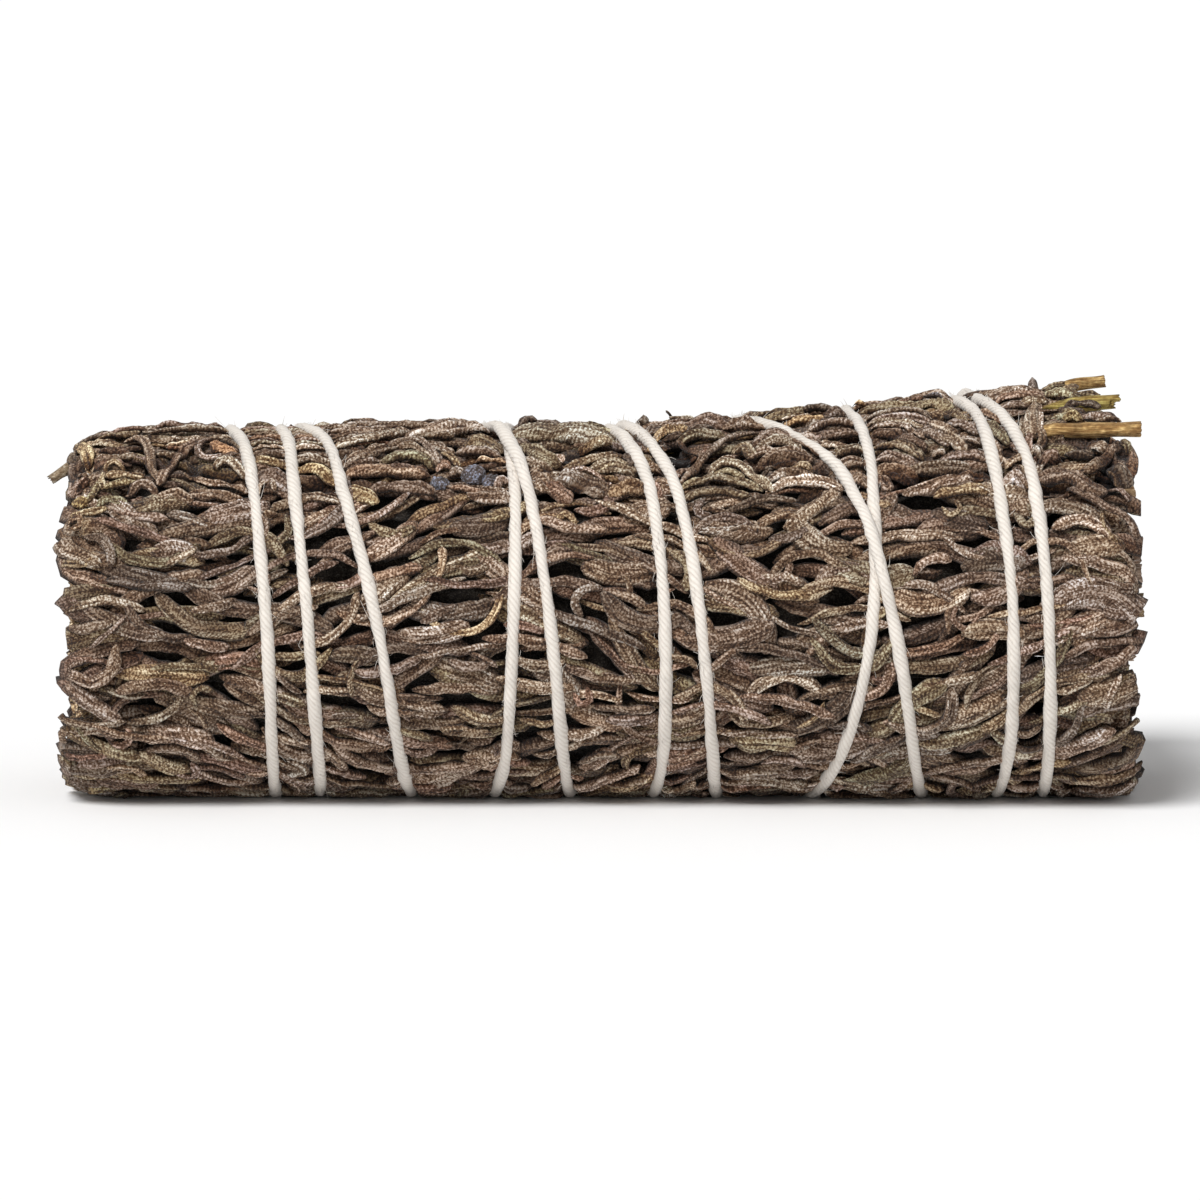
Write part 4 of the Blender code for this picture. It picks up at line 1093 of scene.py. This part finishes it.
def make_end_rolls(clusters, rng, end):
    """The cut ends of the leaves, seen along the bundle: end is -1 for the leafy tips, 1 for the stems."""
    edge = LEFT_END if end < 0 else RIGHT_END
    reach = float(envelope(edge)) - END_MARGIN
    for y, up in spread_over_end(rng, reach):
        out = math.hypot(y, up) / reach
        angle = math.degrees(math.atan2(-y, up)) % 360
        face = edge - end * (END_DOME * out**4 + rng.uniform(0.0, END_RAGGED))
        if end > 0:
            face -= (RIGHT_END - float(right_end(angle))) * float(smooth_step(0.45, 0.85, out))
        lean = rng.normal(0, 0.14, 2)
        path = np.array([
            (face - end * END_ROLL_LENGTH, y * 0.97, up * 0.97),
            (face - end * END_ROLL_LENGTH / 2, y + lean[0] * 1.5, up + lean[1] * 1.5),
            (face, y + lean[0] * 3, up + lean[1] * 3)])
        path[:, 2] += float(axis_height(edge))
        sector = int(angle // (360 / INNER_COUNT)) % INNER_COUNT
        add_end_roll(clusters[sector], rng, path, rng.uniform(*END_ROLL_WIDTHS), end)


def turned_by(angle, a, b):
    """The two coordinates of a section, turned by an angle."""
    return a * math.cos(angle) - b * math.sin(angle), a * math.sin(angle) + b * math.cos(angle)


def scroll_section(rng, width, count):
    """The section of a rolled-up strip, down its outer side and back on its inner one, and its angles."""
    t = np.linspace(0, 1, count)
    angle = 2 * np.pi * rng.uniform(0.9, 1.6) * t + rng.uniform(0, 6)
    radius = width / 2 * (0.3 + 0.7 * t**0.8) * (1 + 0.12 * np.sin(angle * 2.3 + rng.uniform(0, 6)))
    blade = rng.uniform(0.16, 0.3)
    squash = rng.uniform(0.5, 0.95)
    round_it = np.stack([np.cos(angle), np.sin(angle) * squash], axis=1)
    section = np.concatenate([round_it * (radius + blade)[:, None], (round_it * radius[:, None])[::-1]])
    return turned_by(rng.uniform(0, 6), *section.T), np.concatenate([angle, angle[::-1]])


def add_end_roll(cluster, rng, path, width, end):
    """One leaf rolled into a scroll, whose cut end shows the turns of the roll."""
    rings, half = 6, 10
    path = along_path(path, rings)
    (a, b), angle = scroll_section(rng, width, half)
    points = np.repeat(path[:, None, :], len(angle), axis=1)
    swell = 1 + 0.1 * np.sin(np.arange(rings) * 1.3 + rng.uniform(0, 6))[:, None]
    points[..., 1] += a * swell * end
    points[..., 2] += b * swell
    points[-1, :, 0] += rng.normal(0, 0.2, len(angle))
    points = raised_to(0.05, points + 0.12 * noise(points, 0.8, 8)[..., None])
    # Painted light and shade: the rolls are brightened by 1.4 because the key light hardly reaches the ends,
    # and darker further into the bundle and on the inner side of each scroll.
    base = tint_of(rng, rng.choice(END_TONES[end]), 0.25) * TONING * 1.4
    painted_shade_inward = np.linspace(0.35, 1.0, rings)[:, None] * np.concatenate([np.ones(half), np.full(half, 0.65)])
    colours = base * painted_shade_inward[..., None]
    cut = COLOURS[CUT_TONES[end]] * TONING * rng.uniform(0.8, 1.5)
    colours[-1] = 0.4 * colours[-1] + 0.6 * cut
    run = np.linalg.norm(path - path[0], axis=1)[:, None] + np.zeros(len(angle))
    off = np.broadcast_to(angle * width / 3, run.shape)
    grain = np.stack([run, off, np.full_like(off, rng.uniform(0, 1))], axis=-1)
    cluster.add(points, colours, grain=grain, scroll=True)


MASS_ENDS = (LEFT_END + 4.4, 42.0)
MASS_DEPTH = 2.7  # of the outer side under the envelope
MASS_INNER_RADIUS = 1.2
MASS_RINGS, MASS_TOP, MASS_BOTTOM = 64, 16, 4  # the points along a wedge, over its outer and its inner side
MASS_ROUNDED_TO, MASS_ROUNDED_OVER = 8, 1.5  # the radius that its ends close towards, and over what length
MASS_OVERLAP = 0.4  # of neighbouring wedges, in degrees


def make_inner_masses(clusters):
    """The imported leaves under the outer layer: one lumpy wedge for each inner spray."""
    x = np.linspace(*MASS_ENDS, MASS_RINGS)
    outer = envelope(x) - MASS_DEPTH
    ends = np.clip(np.minimum(x - x[0], x[-1] - x) / MASS_ROUNDED_OVER, 0.15, 1) ** 0.5
    is_top = np.concatenate([np.ones(MASS_TOP), np.zeros(MASS_BOTTOM)])
    radius = np.where(is_top > 0, outer[:, None], MASS_INNER_RADIUS + 0 * outer[:, None])
    radius = MASS_ROUNDED_TO + (radius - MASS_ROUNDED_TO) * ends[:, None]
    for k, cluster in enumerate(clusters):
        low, high = 360 / INNER_COUNT * k, 360 / INNER_COUNT * (k + 1)
        over_it = np.linspace(low - MASS_OVERLAP, high + MASS_OVERLAP, MASS_TOP)
        angle = np.concatenate([over_it, np.linspace(high, low, MASS_BOTTOM)])
        along, angles = np.broadcast_arrays(x[:, None], angle)
        spot = place(along, angles, radius)
        lumps = noise(spot * [0.35, 1, 1], 1.3, 11) * 0.55 + noise(spot, 0.7, 12) * 0.2
        depth = pressed(along, angles, envelope(along) - radius - lumps)
        points = raised_to(0.4, place(along, angles, envelope(along) - depth))
        # Painted shade: these packed leaves are coloured very dark because they lie deep inside the bundle.
        tone = 0.12 + 0.07 * noise(spot, 1.1, 13)
        cluster.add(points, tone[..., None] * COLOURS["packed leaf"])


# ---------------------------------------------------------------- stems, twig and bud

# The stems that stand out over the leaves: number, angle, radius, colour, and (x, height) along them. The
# height is over the envelope.
TOP_STEMS = (
    (1, -7.0, 0.62, "stalk", ((-44, -3.2), (-10, -3.2), (20, -3.2), (39, -3.2), (45, 0.0), (49.1, 0.7))),
    (2, 8.0, 0.37, "green stalk", ((-16, -3.4), (16, -3.4), (39, -3.4), (44.4, -1.2), (50.2, -0.5))),
    (3, 28.0, 0.74, "stalk", (
        (-46, -3.8), (-8, -3.8), (20, -3.8), (38, -3.8),
        (41.2, -2.0), (43.4, -0.5), (46, -0.45), (52.2, -0.3))),
)
# Stem 2 is torn into strands: how far each is off its middle along Y and Z, and how many points it is
# shorter by.
STRANDS = {2: ((0.0, 0.24, 0), (-0.34, -0.05, 3), (0.3, -0.12, 9), (-0.02, -0.3, 1))}
INNER_STEM_ANGLES = (2, 74, 146, 218, 290)
# The stems inside: angle, distance from the axis, radius, and how far they sway, in degrees, over which
# length.
FIRST_INNER_STEM = 4
INNER_STEMS = [(angle, 10.6, 1.1, 2, 17) for angle in INNER_STEM_ANGLES]
INNER_STEMS += [(angle + 23, 4.3, 1.25, 4, 20) for angle in INNER_STEM_ANGLES]
INNER_STEMS += [(0, 0.0, 1.25, 0, 20)]
INNER_STEM_TONES = ("straw", "pink", "gold", "ochre")
TWIG_ANGLE, TWIG_RADIUS = 8.0, 0.5
TWIG_ROUTE = [(-52.6, -3.4), (-48, -1.2), (-41, -2.05), (-19, -2.1)]  # (x, height) as above
# The rings of a cut end, from its rim to its pith: share of the radius, how far in it lies, and its shade,
# which is painted shade, darkest at the dished pith.
CUT_RINGS = ((0.82, 0.0, 1.1), (0.55, 0.15, 0.85), (0.35, 0.5, 0.4))


def woody_stem(rng, path, radius, tone, split=0.0, around=20):
    """A dry stem with fibre ridges along it and both ends cut, each end dished in towards its pith."""
    rings = len(path)
    turn = angles_round(around)
    ridge = sum(
        rng.uniform(0.02, 0.05) * np.cos(k * turn + rng.uniform(0, 6)) for k in (1, 2, 3, 5, 7)
    )
    streak = rng.uniform(0.72, 1.12, around)
    lumps = 1 + 0.05 * np.sin(np.arange(rings) * 0.35 + rng.uniform(0, 6))[:, None]
    body = round_section(path, radius * (1 + ridge)[None, :] * lumps, around)
    body[0] += (path[0] - path[1]) * rng.uniform(-0.6, 0.6, around)[:, None] * (0.4 + split)
    body[-1] += (path[-1] - path[-2]) * rng.uniform(-0.8, 0.8, around)[:, None] * (0.5 + 2 * split)
    base = tint_of(rng, tone, 0.05)
    grain = streak[None, :] * (1 + 0.1 * rng.normal(0, 1, (rings, around)))
    knots = 1 - 0.35 * np.exp(-((np.arange(rings) - rng.uniform(0.3, 0.8) * rings) ** 2) / 3)[:, None]
    points, colours = list(body), list(base * (grain * knots)[..., None])
    # the cut ends, with painted shade that deepens towards the pith
    for share, back, shade in CUT_RINGS:
        for end, step in ((0, path[1] - path[0]), (-1, path[-2] - path[-1])):
            ring = path[end] + (body[end] - path[end]) * share + step / np.linalg.norm(step) * back * radius
            at = 0 if end == 0 else len(points)
            points.insert(at, ring)
            colours.insert(at, base * shade * streak[:, None])
    return np.stack(points), np.stack(colours)


def add_stem(name, cluster, material):
    piece(f"sage_{name}", cluster, material, "stem", name)


def make_top_stems(rng, material):
    """The three stems that stand out over the leaves."""
    for number, angle, radius, tone, route in TOP_STEMS:
        x = np.concatenate([np.linspace(route[0][0], 39, 40), np.linspace(39.3, route[-1][0], 46)])
        path = place(x, angle, envelope(x) + smooth_through(route, x))
        cluster = Cluster()
        for k, (y, z, shorter) in enumerate(STRANDS.get(number, ())):
            strand = (path + np.array([0, y, z]))[:len(path) - shorter]
            strand[:, 2] += 0.12 * np.sin(np.arange(len(strand)) * 0.11 + k)
            cluster.add(*woody_stem(rng, strand, radius, tone, split=0.5, around=12))
        if number not in STRANDS:
            cluster.add(*woody_stem(rng, path, radius, tone, around=22))
        add_stem(f"stem_{number:02d}", cluster, material)


def make_inner_stems(rng, material):
    """The stems in the core and round it, seen only on the cut end."""
    for k, (angle, out, radius, sway, wave_length) in enumerate(INNER_STEMS):
        number = FIRST_INNER_STEM + k
        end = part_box(f"stem_{number:02d}")[1][0] / MM
        x = np.concatenate([np.linspace(-43, 44, 30), np.linspace(44.6, end, 16)])
        turned = angle + sway * np.sin(x / wave_length + k % 5)
        cluster = Cluster()
        tone = INNER_STEM_TONES[k % len(INNER_STEM_TONES)]
        cluster.add(*woody_stem(rng, place(x, turned, out + 0 * x), radius, tone))
        add_stem(f"stem_{number:02d}", cluster, material)


def make_twig(rng, material):
    """The thin twig that sticks out at the leafy end."""
    x = np.linspace(-19, -52.5, 60)
    path = place(x, TWIG_ANGLE, envelope(x) + smooth_through(TWIG_ROUTE, x))
    cluster = Cluster()
    cluster.add(*woody_stem(rng, path, TWIG_RADIUS, "twig"))
    add_stem("twig", cluster, material)


# The balls of the bud: how far each is off the bud's place, along x and in degrees, its radius and its lift.
BALLS = ((0.35, -1.5, 1.12, -0.1), (-2.9, 1.2, 0.85, -0.5), (2.1, 0.4, 0.9, -0.3))


def make_bud(rng, material):
    """Three round, downy flower buds held between the leaves."""
    cluster = Cluster()
    polar = np.linspace(0.05, np.pi - 0.05, 36)[:, None]
    turns = angles_round(40)[None, :]
    for dx, turn, size, lift in BALLS:
        centre = flat(BUD_X + dx, BUD_ANGLE + turn, lift)
        ball = np.stack([
            centre[0] + size * 1.05 * np.cos(polar) + 0 * turns,
            centre[1] + size * np.sin(polar) * np.cos(turns),
            centre[2] + 0.9 * size * np.sin(polar) * np.sin(turns)], axis=-1)
        points = on_bundle(ball)
        away = unit(points - points.reshape(-1, 3).mean(axis=0))
        lumps = noise(points, 0.62, 20) * 0.16 + noise(points, 0.3, 21) * 0.12
        # The tone follows the lumps: lighter where they stand out and darker between them.
        down = 0.85 + 2.6 * lumps
        colours = COLOURS["blue"] * rng.uniform(0.9, 1.1) * down[..., None]
        cluster.add(points + away * lumps[..., None], colours)
    piece("sage_flower_buds", cluster, material, "flower_bud", "flower_bud")


# ---------------------------------------------------------------- twine

CORD_RADIUS = 0.61  # without its down, which fills the CAD twine's radius
CORD_STEP = 0.42  # from one ring of the cord to the next
PLIES, PLY_PITCH = 8, 5.0
STRETCHED_AT = place(19.5, 20, 18.3)  # where the cord is drawn thin
STRETCHED_BY, STRETCHED_OVER = 0.3, 5.5
FIBRES, KNOT_FIBRES, TAIL_FIBRES = 2900, 60, 50
FIBRE_RADIUS = 0.028
END_CORD_SIZE = 0.95  # how thick the cord of the knot and its tails is, against the wound one


def twine_centre_line():
    """The wound twine's centre line, the ways out from the bundle along it, and the mm run along it."""
    angle = np.arange(ROUTE[0][0], ROUTE[-1][0], 0.5)
    x = smooth_through(ROUTE, angle)
    lift = np.zeros_like(angle)
    for back in range(1, len(TURNS) + 1):
        below = angle - 360 * back
        under = (angle >= TURNING_POINT) & (below < TURNING_POINT) & (below >= ROUTE[0][0])
        gap = np.abs(x - np.interp(below, WOUND_ANGLES, WOUND_X))
        rise = CROSSING_LIFT * (1 - smooth_step(0.5, 2.0, gap))
        lift = np.maximum(lift, np.where(under, rise, 0))
    points = place(x, angle, kept_above(envelope(x) - TWINE_BITE, x, angle, TWINE_RADIUS) + lift)
    run = np.concatenate([[0], np.cumsum(np.linalg.norm(np.diff(points, axis=0), axis=1))])
    even = np.linspace(0, run[-1], int(run[-1] / CORD_STEP))
    line = np.stack([np.interp(even, run, points[:, k]) for k in range(3)], axis=1)
    return line, outward(line), even


def plied(line, out, run, size=1.0):
    """The cord as Cluster.add takes it; the grain is the mm along it and the way round as cos and sin."""
    turn = angles_round(12)
    thick = 1 + 0.07 * np.sin(run / 4.1)[:, None] + 0.06 * np.sin(run / 1.7 + 1)[:, None]
    apart = np.linalg.norm(line - STRETCHED_AT, axis=1)
    stretched = STRETCHED_BY * np.exp(-((apart / STRETCHED_OVER) ** 2))
    points = round_section(line, size * CORD_RADIUS * (thick - stretched[:, None]), len(turn), out)
    points = points + (0.06 * noise(points, 0.8, 30) + 0.04 * noise(points, 0.4, 32))[..., None]
    points = raised_to(0.0, points)
    dust = 0.97 + 0.05 * noise(points, 1.8, 31)
    round_it = np.broadcast_to(turn, dust.shape)
    grain = np.stack([run[:, None] + 0 * dust, np.cos(round_it), np.sin(round_it)], axis=-1)
    return points, COLOURS["cotton"] * dust[..., None], None, grain


def fibres(cluster, rng, line, out, count):
    """Loose fibres that stand off the cord."""
    ahead = unit(np.gradient(line, axis=0))
    t = np.linspace(0, 1, 4)[:, None]
    for _ in range(count):
        at = int(rng.integers(2, len(line) - 2))
        side = np.cross(ahead[at], out[at])
        spread = rng.uniform(-1.9, 1.9)
        away = out[at] * math.cos(spread) + side * math.sin(spread)
        long = rng.uniform(0.15, 0.75)
        lean = ahead[at] * rng.normal(0, 1.1) + rng.normal(0, 0.35, 3)
        start = line[at] + away * CORD_RADIUS * 0.9
        path = start + away * long * t * (1 - 0.35 * t) + lean * long * t**1.6
        if path[:, 2].min() < 0.02:
            continue
        fibre = round_section(path, FIBRE_RADIUS * (1 - 0.5 * t), 3)
        cluster.add(fibre, np.broadcast_to(COLOURS["cotton"], fibre.shape))


def make_twine(rng, material):
    """The wound twine."""
    cluster = Cluster()
    line, out, run = twine_centre_line()
    cluster.add(*plied(line, out, run))
    fibres(cluster, rng, line, out, FIBRES)
    piece("cotton_twine", cluster, material, "twine", "twine")


def make_knot(rng, material):
    """An overhand knot on the lower back, with its two tails."""
    out = place(KNOT_X, KNOT_ANGLE, 1.0) - place(KNOT_X, KNOT_ANGLE, 0.0)
    along = np.array([1.0, 0, 0])
    t = np.linspace(0, 2 * np.pi, 120)
    loop = (
        place(KNOT_X, KNOT_ANGLE, float(envelope(KNOT_X)) + 0.35)
        + np.outer(1.15 * np.sin(2 * t), along)
        + np.outer(1.35 * np.sin(t + 0.4), np.cross(out, along))
        + np.outer(0.55 * np.cos(3 * t), out)
    )
    outs = np.broadcast_to(out, loop.shape)
    cluster = Cluster()
    cluster.add(*plied(loop, outs, np.linspace(0, length_of(loop), len(loop)), END_CORD_SIZE))
    fibres(cluster, rng, loop, outs, KNOT_FIBRES)
    piece("cotton_knot", cluster, material, "twine", "twine_knot")
    for number, fan in ((1, -1.2), (2, 1.7)):
        make_tail(rng, material, number, fan, out)


def make_tail(rng, material, number, fan, out):
    """A short, frayed end of the twine that leaves the knot, turning away by fan degrees a mm."""
    far = np.linspace(-1.6, 9.0, 40)
    angle = KNOT_ANGLE + math.copysign(3.4, fan) * np.clip(1 + far / 3, 0, 1) + fan * np.clip(far, 0, 9)
    x = KNOT_X + 2.4 + far
    height = 0.75 + 0.25 * np.sin(far / 2.2 + number)
    line = along_path(place(x, angle, envelope(x) + height)[::6], 44)
    run = np.linspace(0, length_of(line), len(line))
    outs = np.broadcast_to(out, line.shape)
    flare = 0.9 + 0.35 * smooth_step(0.8, 1.0, run / run[-1])[:, None, None]
    points, *looks = plied(line, outs, run, END_CORD_SIZE)
    points = line[:, None, :] + (points - line[:, None, :]) * flare
    cluster = Cluster()
    cluster.add(raised_to(0.0, points), *looks)
    fibres(cluster, rng, line, outs, TAIL_FIBRES)
    piece(f"cotton_tail_{number}", cluster, material, "twine", f"twine_tail_{number}")


# ---------------------------------------------------------------- materials

RESPONSE = (0.8, 1.0, 1.2)  # how strongly red, green and blue follow light and dark


class Material:
    """A procedural material: short methods that each add a node and give back its output."""

    def __init__(self, name, roughness, sheen):
        self.made = bpy.data.materials.new(name)
        self.made.use_nodes = True
        self.nodes, self.links = self.made.node_tree.nodes, self.made.node_tree.links
        self.shader = self.nodes["Principled BSDF"]
        self.shader.inputs["Roughness"].default_value = roughness
        self.shader.inputs["Specular IOR Level"].default_value = 0.2
        self.shader.inputs["Sheen Weight"].default_value = sheen
        self.shader.inputs["Sheen Roughness"].default_value = 0.6
        place_node = self.nodes.new("ShaderNodeTexCoord")
        self.at = self.vector("SCALE", place_node.outputs["Object"], scale=1 / MM)
        self.tint = self.attribute("tint").outputs["Color"]
        apart = self.nodes.new("ShaderNodeSeparateXYZ")
        self.links.new(self.attribute("grain").outputs["Vector"], apart.inputs[0])
        self.grain = apart.outputs[:3]

    def attribute(self, name):
        node = self.nodes.new("ShaderNodeAttribute")
        node.attribute_name = name
        return node

    def plug(self, socket, value):
        if hasattr(value, "is_linked"):
            self.links.new(value, socket)
        else:
            socket.default_value = value

    def calculated(self, kind, operation, values):
        node = self.nodes.new(kind)
        node.operation = operation
        for socket, value in zip(node.inputs, values):
            self.plug(socket, value)
        return node

    def maths(self, operation, *values):
        return self.calculated("ShaderNodeMath", operation, values).outputs[0]

    def times(self, *values):
        return self.maths("MULTIPLY", *values)

    def plus(self, *values):
        return self.maths("ADD", *values)

    def vector(self, operation, *values, scale=None):
        node = self.calculated("ShaderNodeVectorMath", operation, values)
        if scale is not None:
            self.plug(node.inputs["Scale"], scale)
        return node.outputs[0]

    def joined(self, x, y, z):
        node = self.nodes.new("ShaderNodeCombineXYZ")
        for socket, value in zip(node.inputs, (x, y, z)):
            self.plug(socket, value)
        return node.outputs[0]

    def noise(self, at, size, detail, rough=0.55, colour=False):
        node = self.nodes.new("ShaderNodeTexNoise")
        node.inputs["Scale"].default_value = 1 / size
        node.inputs["Detail"].default_value = detail
        node.inputs["Roughness"].default_value = rough
        self.links.new(at, node.inputs["Vector"])
        return node.outputs["Color" if colour else "Fac"]

    def cells(self, at, size):
        node = self.nodes.new("ShaderNodeTexVoronoi")
        node.inputs["Scale"].default_value = 1 / size
        self.links.new(at, node.inputs["Vector"])
        return node.outputs["Distance"]

    def spread(self, value, low, high, to_low, to_high):
        node = self.nodes.new("ShaderNodeMapRange")
        for name, number in (("From Min", low), ("From Max", high), ("To Min", to_low), ("To Max", to_high)):
            node.inputs[name].default_value = number
        self.links.new(value, node.inputs["Value"])
        return node.outputs["Result"]

    def mix(self, *parts):
        """The sum of (value, share) parts."""
        total = None
        for value, share in parts:
            part = self.times(value, share)
            total = part if total is None else self.plus(total, part)
        return total

    def finish(self, height, depth, contrast, middle, ceiling=1.6):
        """Bumps of this depth in mm, and the tint made dark in the hollows and light on the ridges.

        On the leaves and the twine this is painted shade and painted light; on the stems, the fibres' own
        streaks.
        The tint is unchanged where the height is at its middle value. Light parts also turn paler and dark
        parts turn redder, so that the painted light is pale and the painted shade warm. The ceiling limits
        how light the ridges become.
        """
        bump = self.nodes.new("ShaderNodeBump")
        bump.inputs["Strength"].default_value = 1.0
        bump.inputs["Distance"].default_value = depth * MM
        self.links.new(height, bump.inputs["Height"])
        self.links.new(bump.outputs["Normal"], self.shader.inputs["Normal"])
        light = self.times(self.maths("SUBTRACT", height, middle), contrast)
        light = self.maths("MINIMUM", light, ceiling)
        share = self.joined(*(self.maths("POWER", math.exp(power), light) for power in RESPONSE))
        self.links.new(self.vector("MULTIPLY", self.tint, share), self.shader.inputs["Base Color"])
        return self.made


RIB = 0.42  # mm from one cross rib of a dried leaf to the next
PEBBLE = 0.25  # mm from one pebble of its skin to the next


def leaf_material():
    """Dried sage: ribbed across, wrinkled along, pebbled and downy; darkened in its creases with painted
    shade, and lighter on its ridges, partly from its pale down and partly as painted light.
    """
    leaf = Material("dried_sage", 0.9, 0.12)
    run, off, own = leaf.grain
    sway = leaf.noise(leaf.at, 1.6, 1.0)
    slant = leaf.times(leaf.maths("ABSOLUTE", off), 0.6)
    phase = leaf.maths("DIVIDE", leaf.plus(run, slant), RIB)
    phase = leaf.plus(leaf.plus(phase, own), leaf.times(sway, 3.0))
    rib = leaf.spread(leaf.maths("SINE", leaf.times(phase, 2 * math.pi)), -1, 1, 0, 1)
    along = leaf.joined(leaf.times(run, 0.1), off, leaf.times(own, 40.0))
    wrinkle = leaf.noise(along, 0.24, 1.0)
    wavy = leaf.vector("SCALE", leaf.noise(leaf.at, 0.7, 1.0, colour=True), scale=0.5)
    pebble = leaf.spread(leaf.cells(leaf.vector("ADD", leaf.at, wavy), PEBBLE), 0.05, 0.75, 1, 0)
    down = leaf.noise(leaf.at, 0.16, 3.0, 0.65)
    height = leaf.mix((rib, 0.1), (wrinkle, 0.52), (pebble, 0.22), (down, 0.5))
    return leaf.finish(height, depth=0.36, contrast=11.0, middle=0.65, ceiling=1.05)


def stem_material():
    """Dry wood of a stem: fine fibres along it."""
    stem = Material("sage_stem", 0.75, 0.05)
    along = stem.vector("MULTIPLY", stem.at, (0.1, 1.0, 1.0))
    fibre = stem.noise(along, 0.17, 3.0, 0.6)
    speck = stem.noise(stem.at, 0.5, 3.0, 0.6)
    height = stem.mix((fibre, 0.7), (speck, 0.3))
    return stem.finish(height, depth=0.24, contrast=6.5, middle=0.516)


def twine_material():
    """Soft cotton: many thin plies wound round the cord, and matted fibres."""
    cord = Material("cotton", 0.85, 0.3)
    run, across, out = cord.grain
    turn = cord.maths("ARCTAN2", out, across)
    wound = cord.maths("SUBTRACT", turn, cord.times(run, 2 * math.pi / PLY_PITCH))
    ply = cord.maths("ABSOLUTE", cord.maths("COSINE", cord.times(wound, PLIES / 2)))
    ply = cord.maths("POWER", ply, 0.6)
    sheaf = cord.joined(cord.maths("COSINE", wound), cord.maths("SINE", wound), cord.times(run, 0.25))
    fibre = cord.noise(sheaf, 0.16, 3.0, 0.65)
    matted = cord.noise(cord.at, 0.3, 3.0, 0.6)
    height = cord.mix((ply, 0.4), (fibre, 0.4), (matted, 0.25))
    # The finish paints shade into the grooves between the plies and light on their crowns.
    return cord.finish(height, depth=0.12, contrast=0.45, middle=0.65)


# ---------------------------------------------------------------- the scene round the object

VIEW_ELEVATION = 8
VIEW_DISTANCE = 1.5
VIEW_WIDTH = 0.11594  # the width of what the camera sees at the object
VIEW_CENTRE = (0.00034, 0.0, 0.01854)

SKY_LIGHT = 0.4
KEY_LIGHT = 2.75
KEY_WIDTH = 24  # the angle that it fills, for soft shadows
KEY_TILT, KEY_TURN = 40, -28  # off the vertical, and round to the left
FLOOR_SIZE = 8
FLOOR_COLOUR = (0.96, 0.96, 0.96, 1)


def make_camera():
    """The camera in front of the bundle, looking a little down on it."""
    camera = bpy.data.cameras.new("camera")
    obj = added("camera", camera)
    raised = math.radians(VIEW_ELEVATION)
    obj.location = (
        VIEW_CENTRE[0],
        VIEW_CENTRE[1] - VIEW_DISTANCE * math.cos(raised),
        VIEW_CENTRE[2] + VIEW_DISTANCE * math.sin(raised),
    )
    obj.rotation_euler = (math.pi / 2 - raised, 0, 0)
    camera.lens = camera.sensor_width * VIEW_DISTANCE / VIEW_WIDTH
    camera.clip_start, camera.clip_end = 0.01, 100
    bpy.context.scene.camera = obj


def make_lights():
    """Soft light from the upper left front, and an even white sky."""
    world = bpy.data.worlds.new("studio")
    bpy.context.scene.world = world
    world.use_nodes = True
    world.node_tree.nodes["Background"].inputs["Color"].default_value = (1, 1, 1, 1)
    world.node_tree.nodes["Background"].inputs["Strength"].default_value = SKY_LIGHT
    light = bpy.data.lights.new("key", "SUN")
    light.energy = KEY_LIGHT
    light.angle = math.radians(KEY_WIDTH)
    added("key", light).rotation_euler = (math.radians(KEY_TILT), 0, math.radians(KEY_TURN))
    bpy.context.scene.view_settings.view_transform = "Standard"


def make_floor():
    """A wide pale floor."""
    bpy.ops.mesh.primitive_plane_add(size=FLOOR_SIZE)
    floor = bpy.context.object
    floor.name = "floor"
    paper = bpy.data.materials.new("floor")
    paper.use_nodes = True
    shader = paper.node_tree.nodes["Principled BSDF"]
    shader.inputs["Base Color"].default_value = FLOOR_COLOUR
    shader.inputs["Roughness"].default_value = 0.95
    shader.inputs["Specular IOR Level"].default_value = 0.0
    floor.data.materials.append(paper)


def make_sprays(rng, material):
    """All the leaves: the outer sprays, and the inner ones with the rolls on both ends of the bundle."""
    outer = [Cluster() for _ in SPRAYS]
    inner = [Cluster() for _ in range(INNER_COUNT)]
    make_outer_leaves(outer)
    make_inner_masses(inner)
    make_end_rolls(inner, rng, -1)
    make_end_rolls(inner, rng, 1)
    sprays = ((outer, "leaf_spray", "dried_leaf"), (inner, "inner_spray", "inner_leaf"))
    for clusters, node, slot in sprays:
        for number, cluster in enumerate(clusters, 1):
            piece(f"sage_{node}_{number:02d}", cluster, material, slot, f"{node}_{number:02d}")


def make_bundle():
    """The whole smudge stick."""
    rng = np.random.default_rng(SEED + 1)
    leaf, stem, cotton = leaf_material(), stem_material(), twine_material()
    make_sprays(rng, leaf)
    make_top_stems(rng, stem)
    make_inner_stems(rng, stem)
    make_twig(rng, stem)
    make_bud(rng, leaf)
    make_twine(rng, cotton)
    make_knot(rng, cotton)


make_camera()
make_lights()
make_floor()
make_bundle()
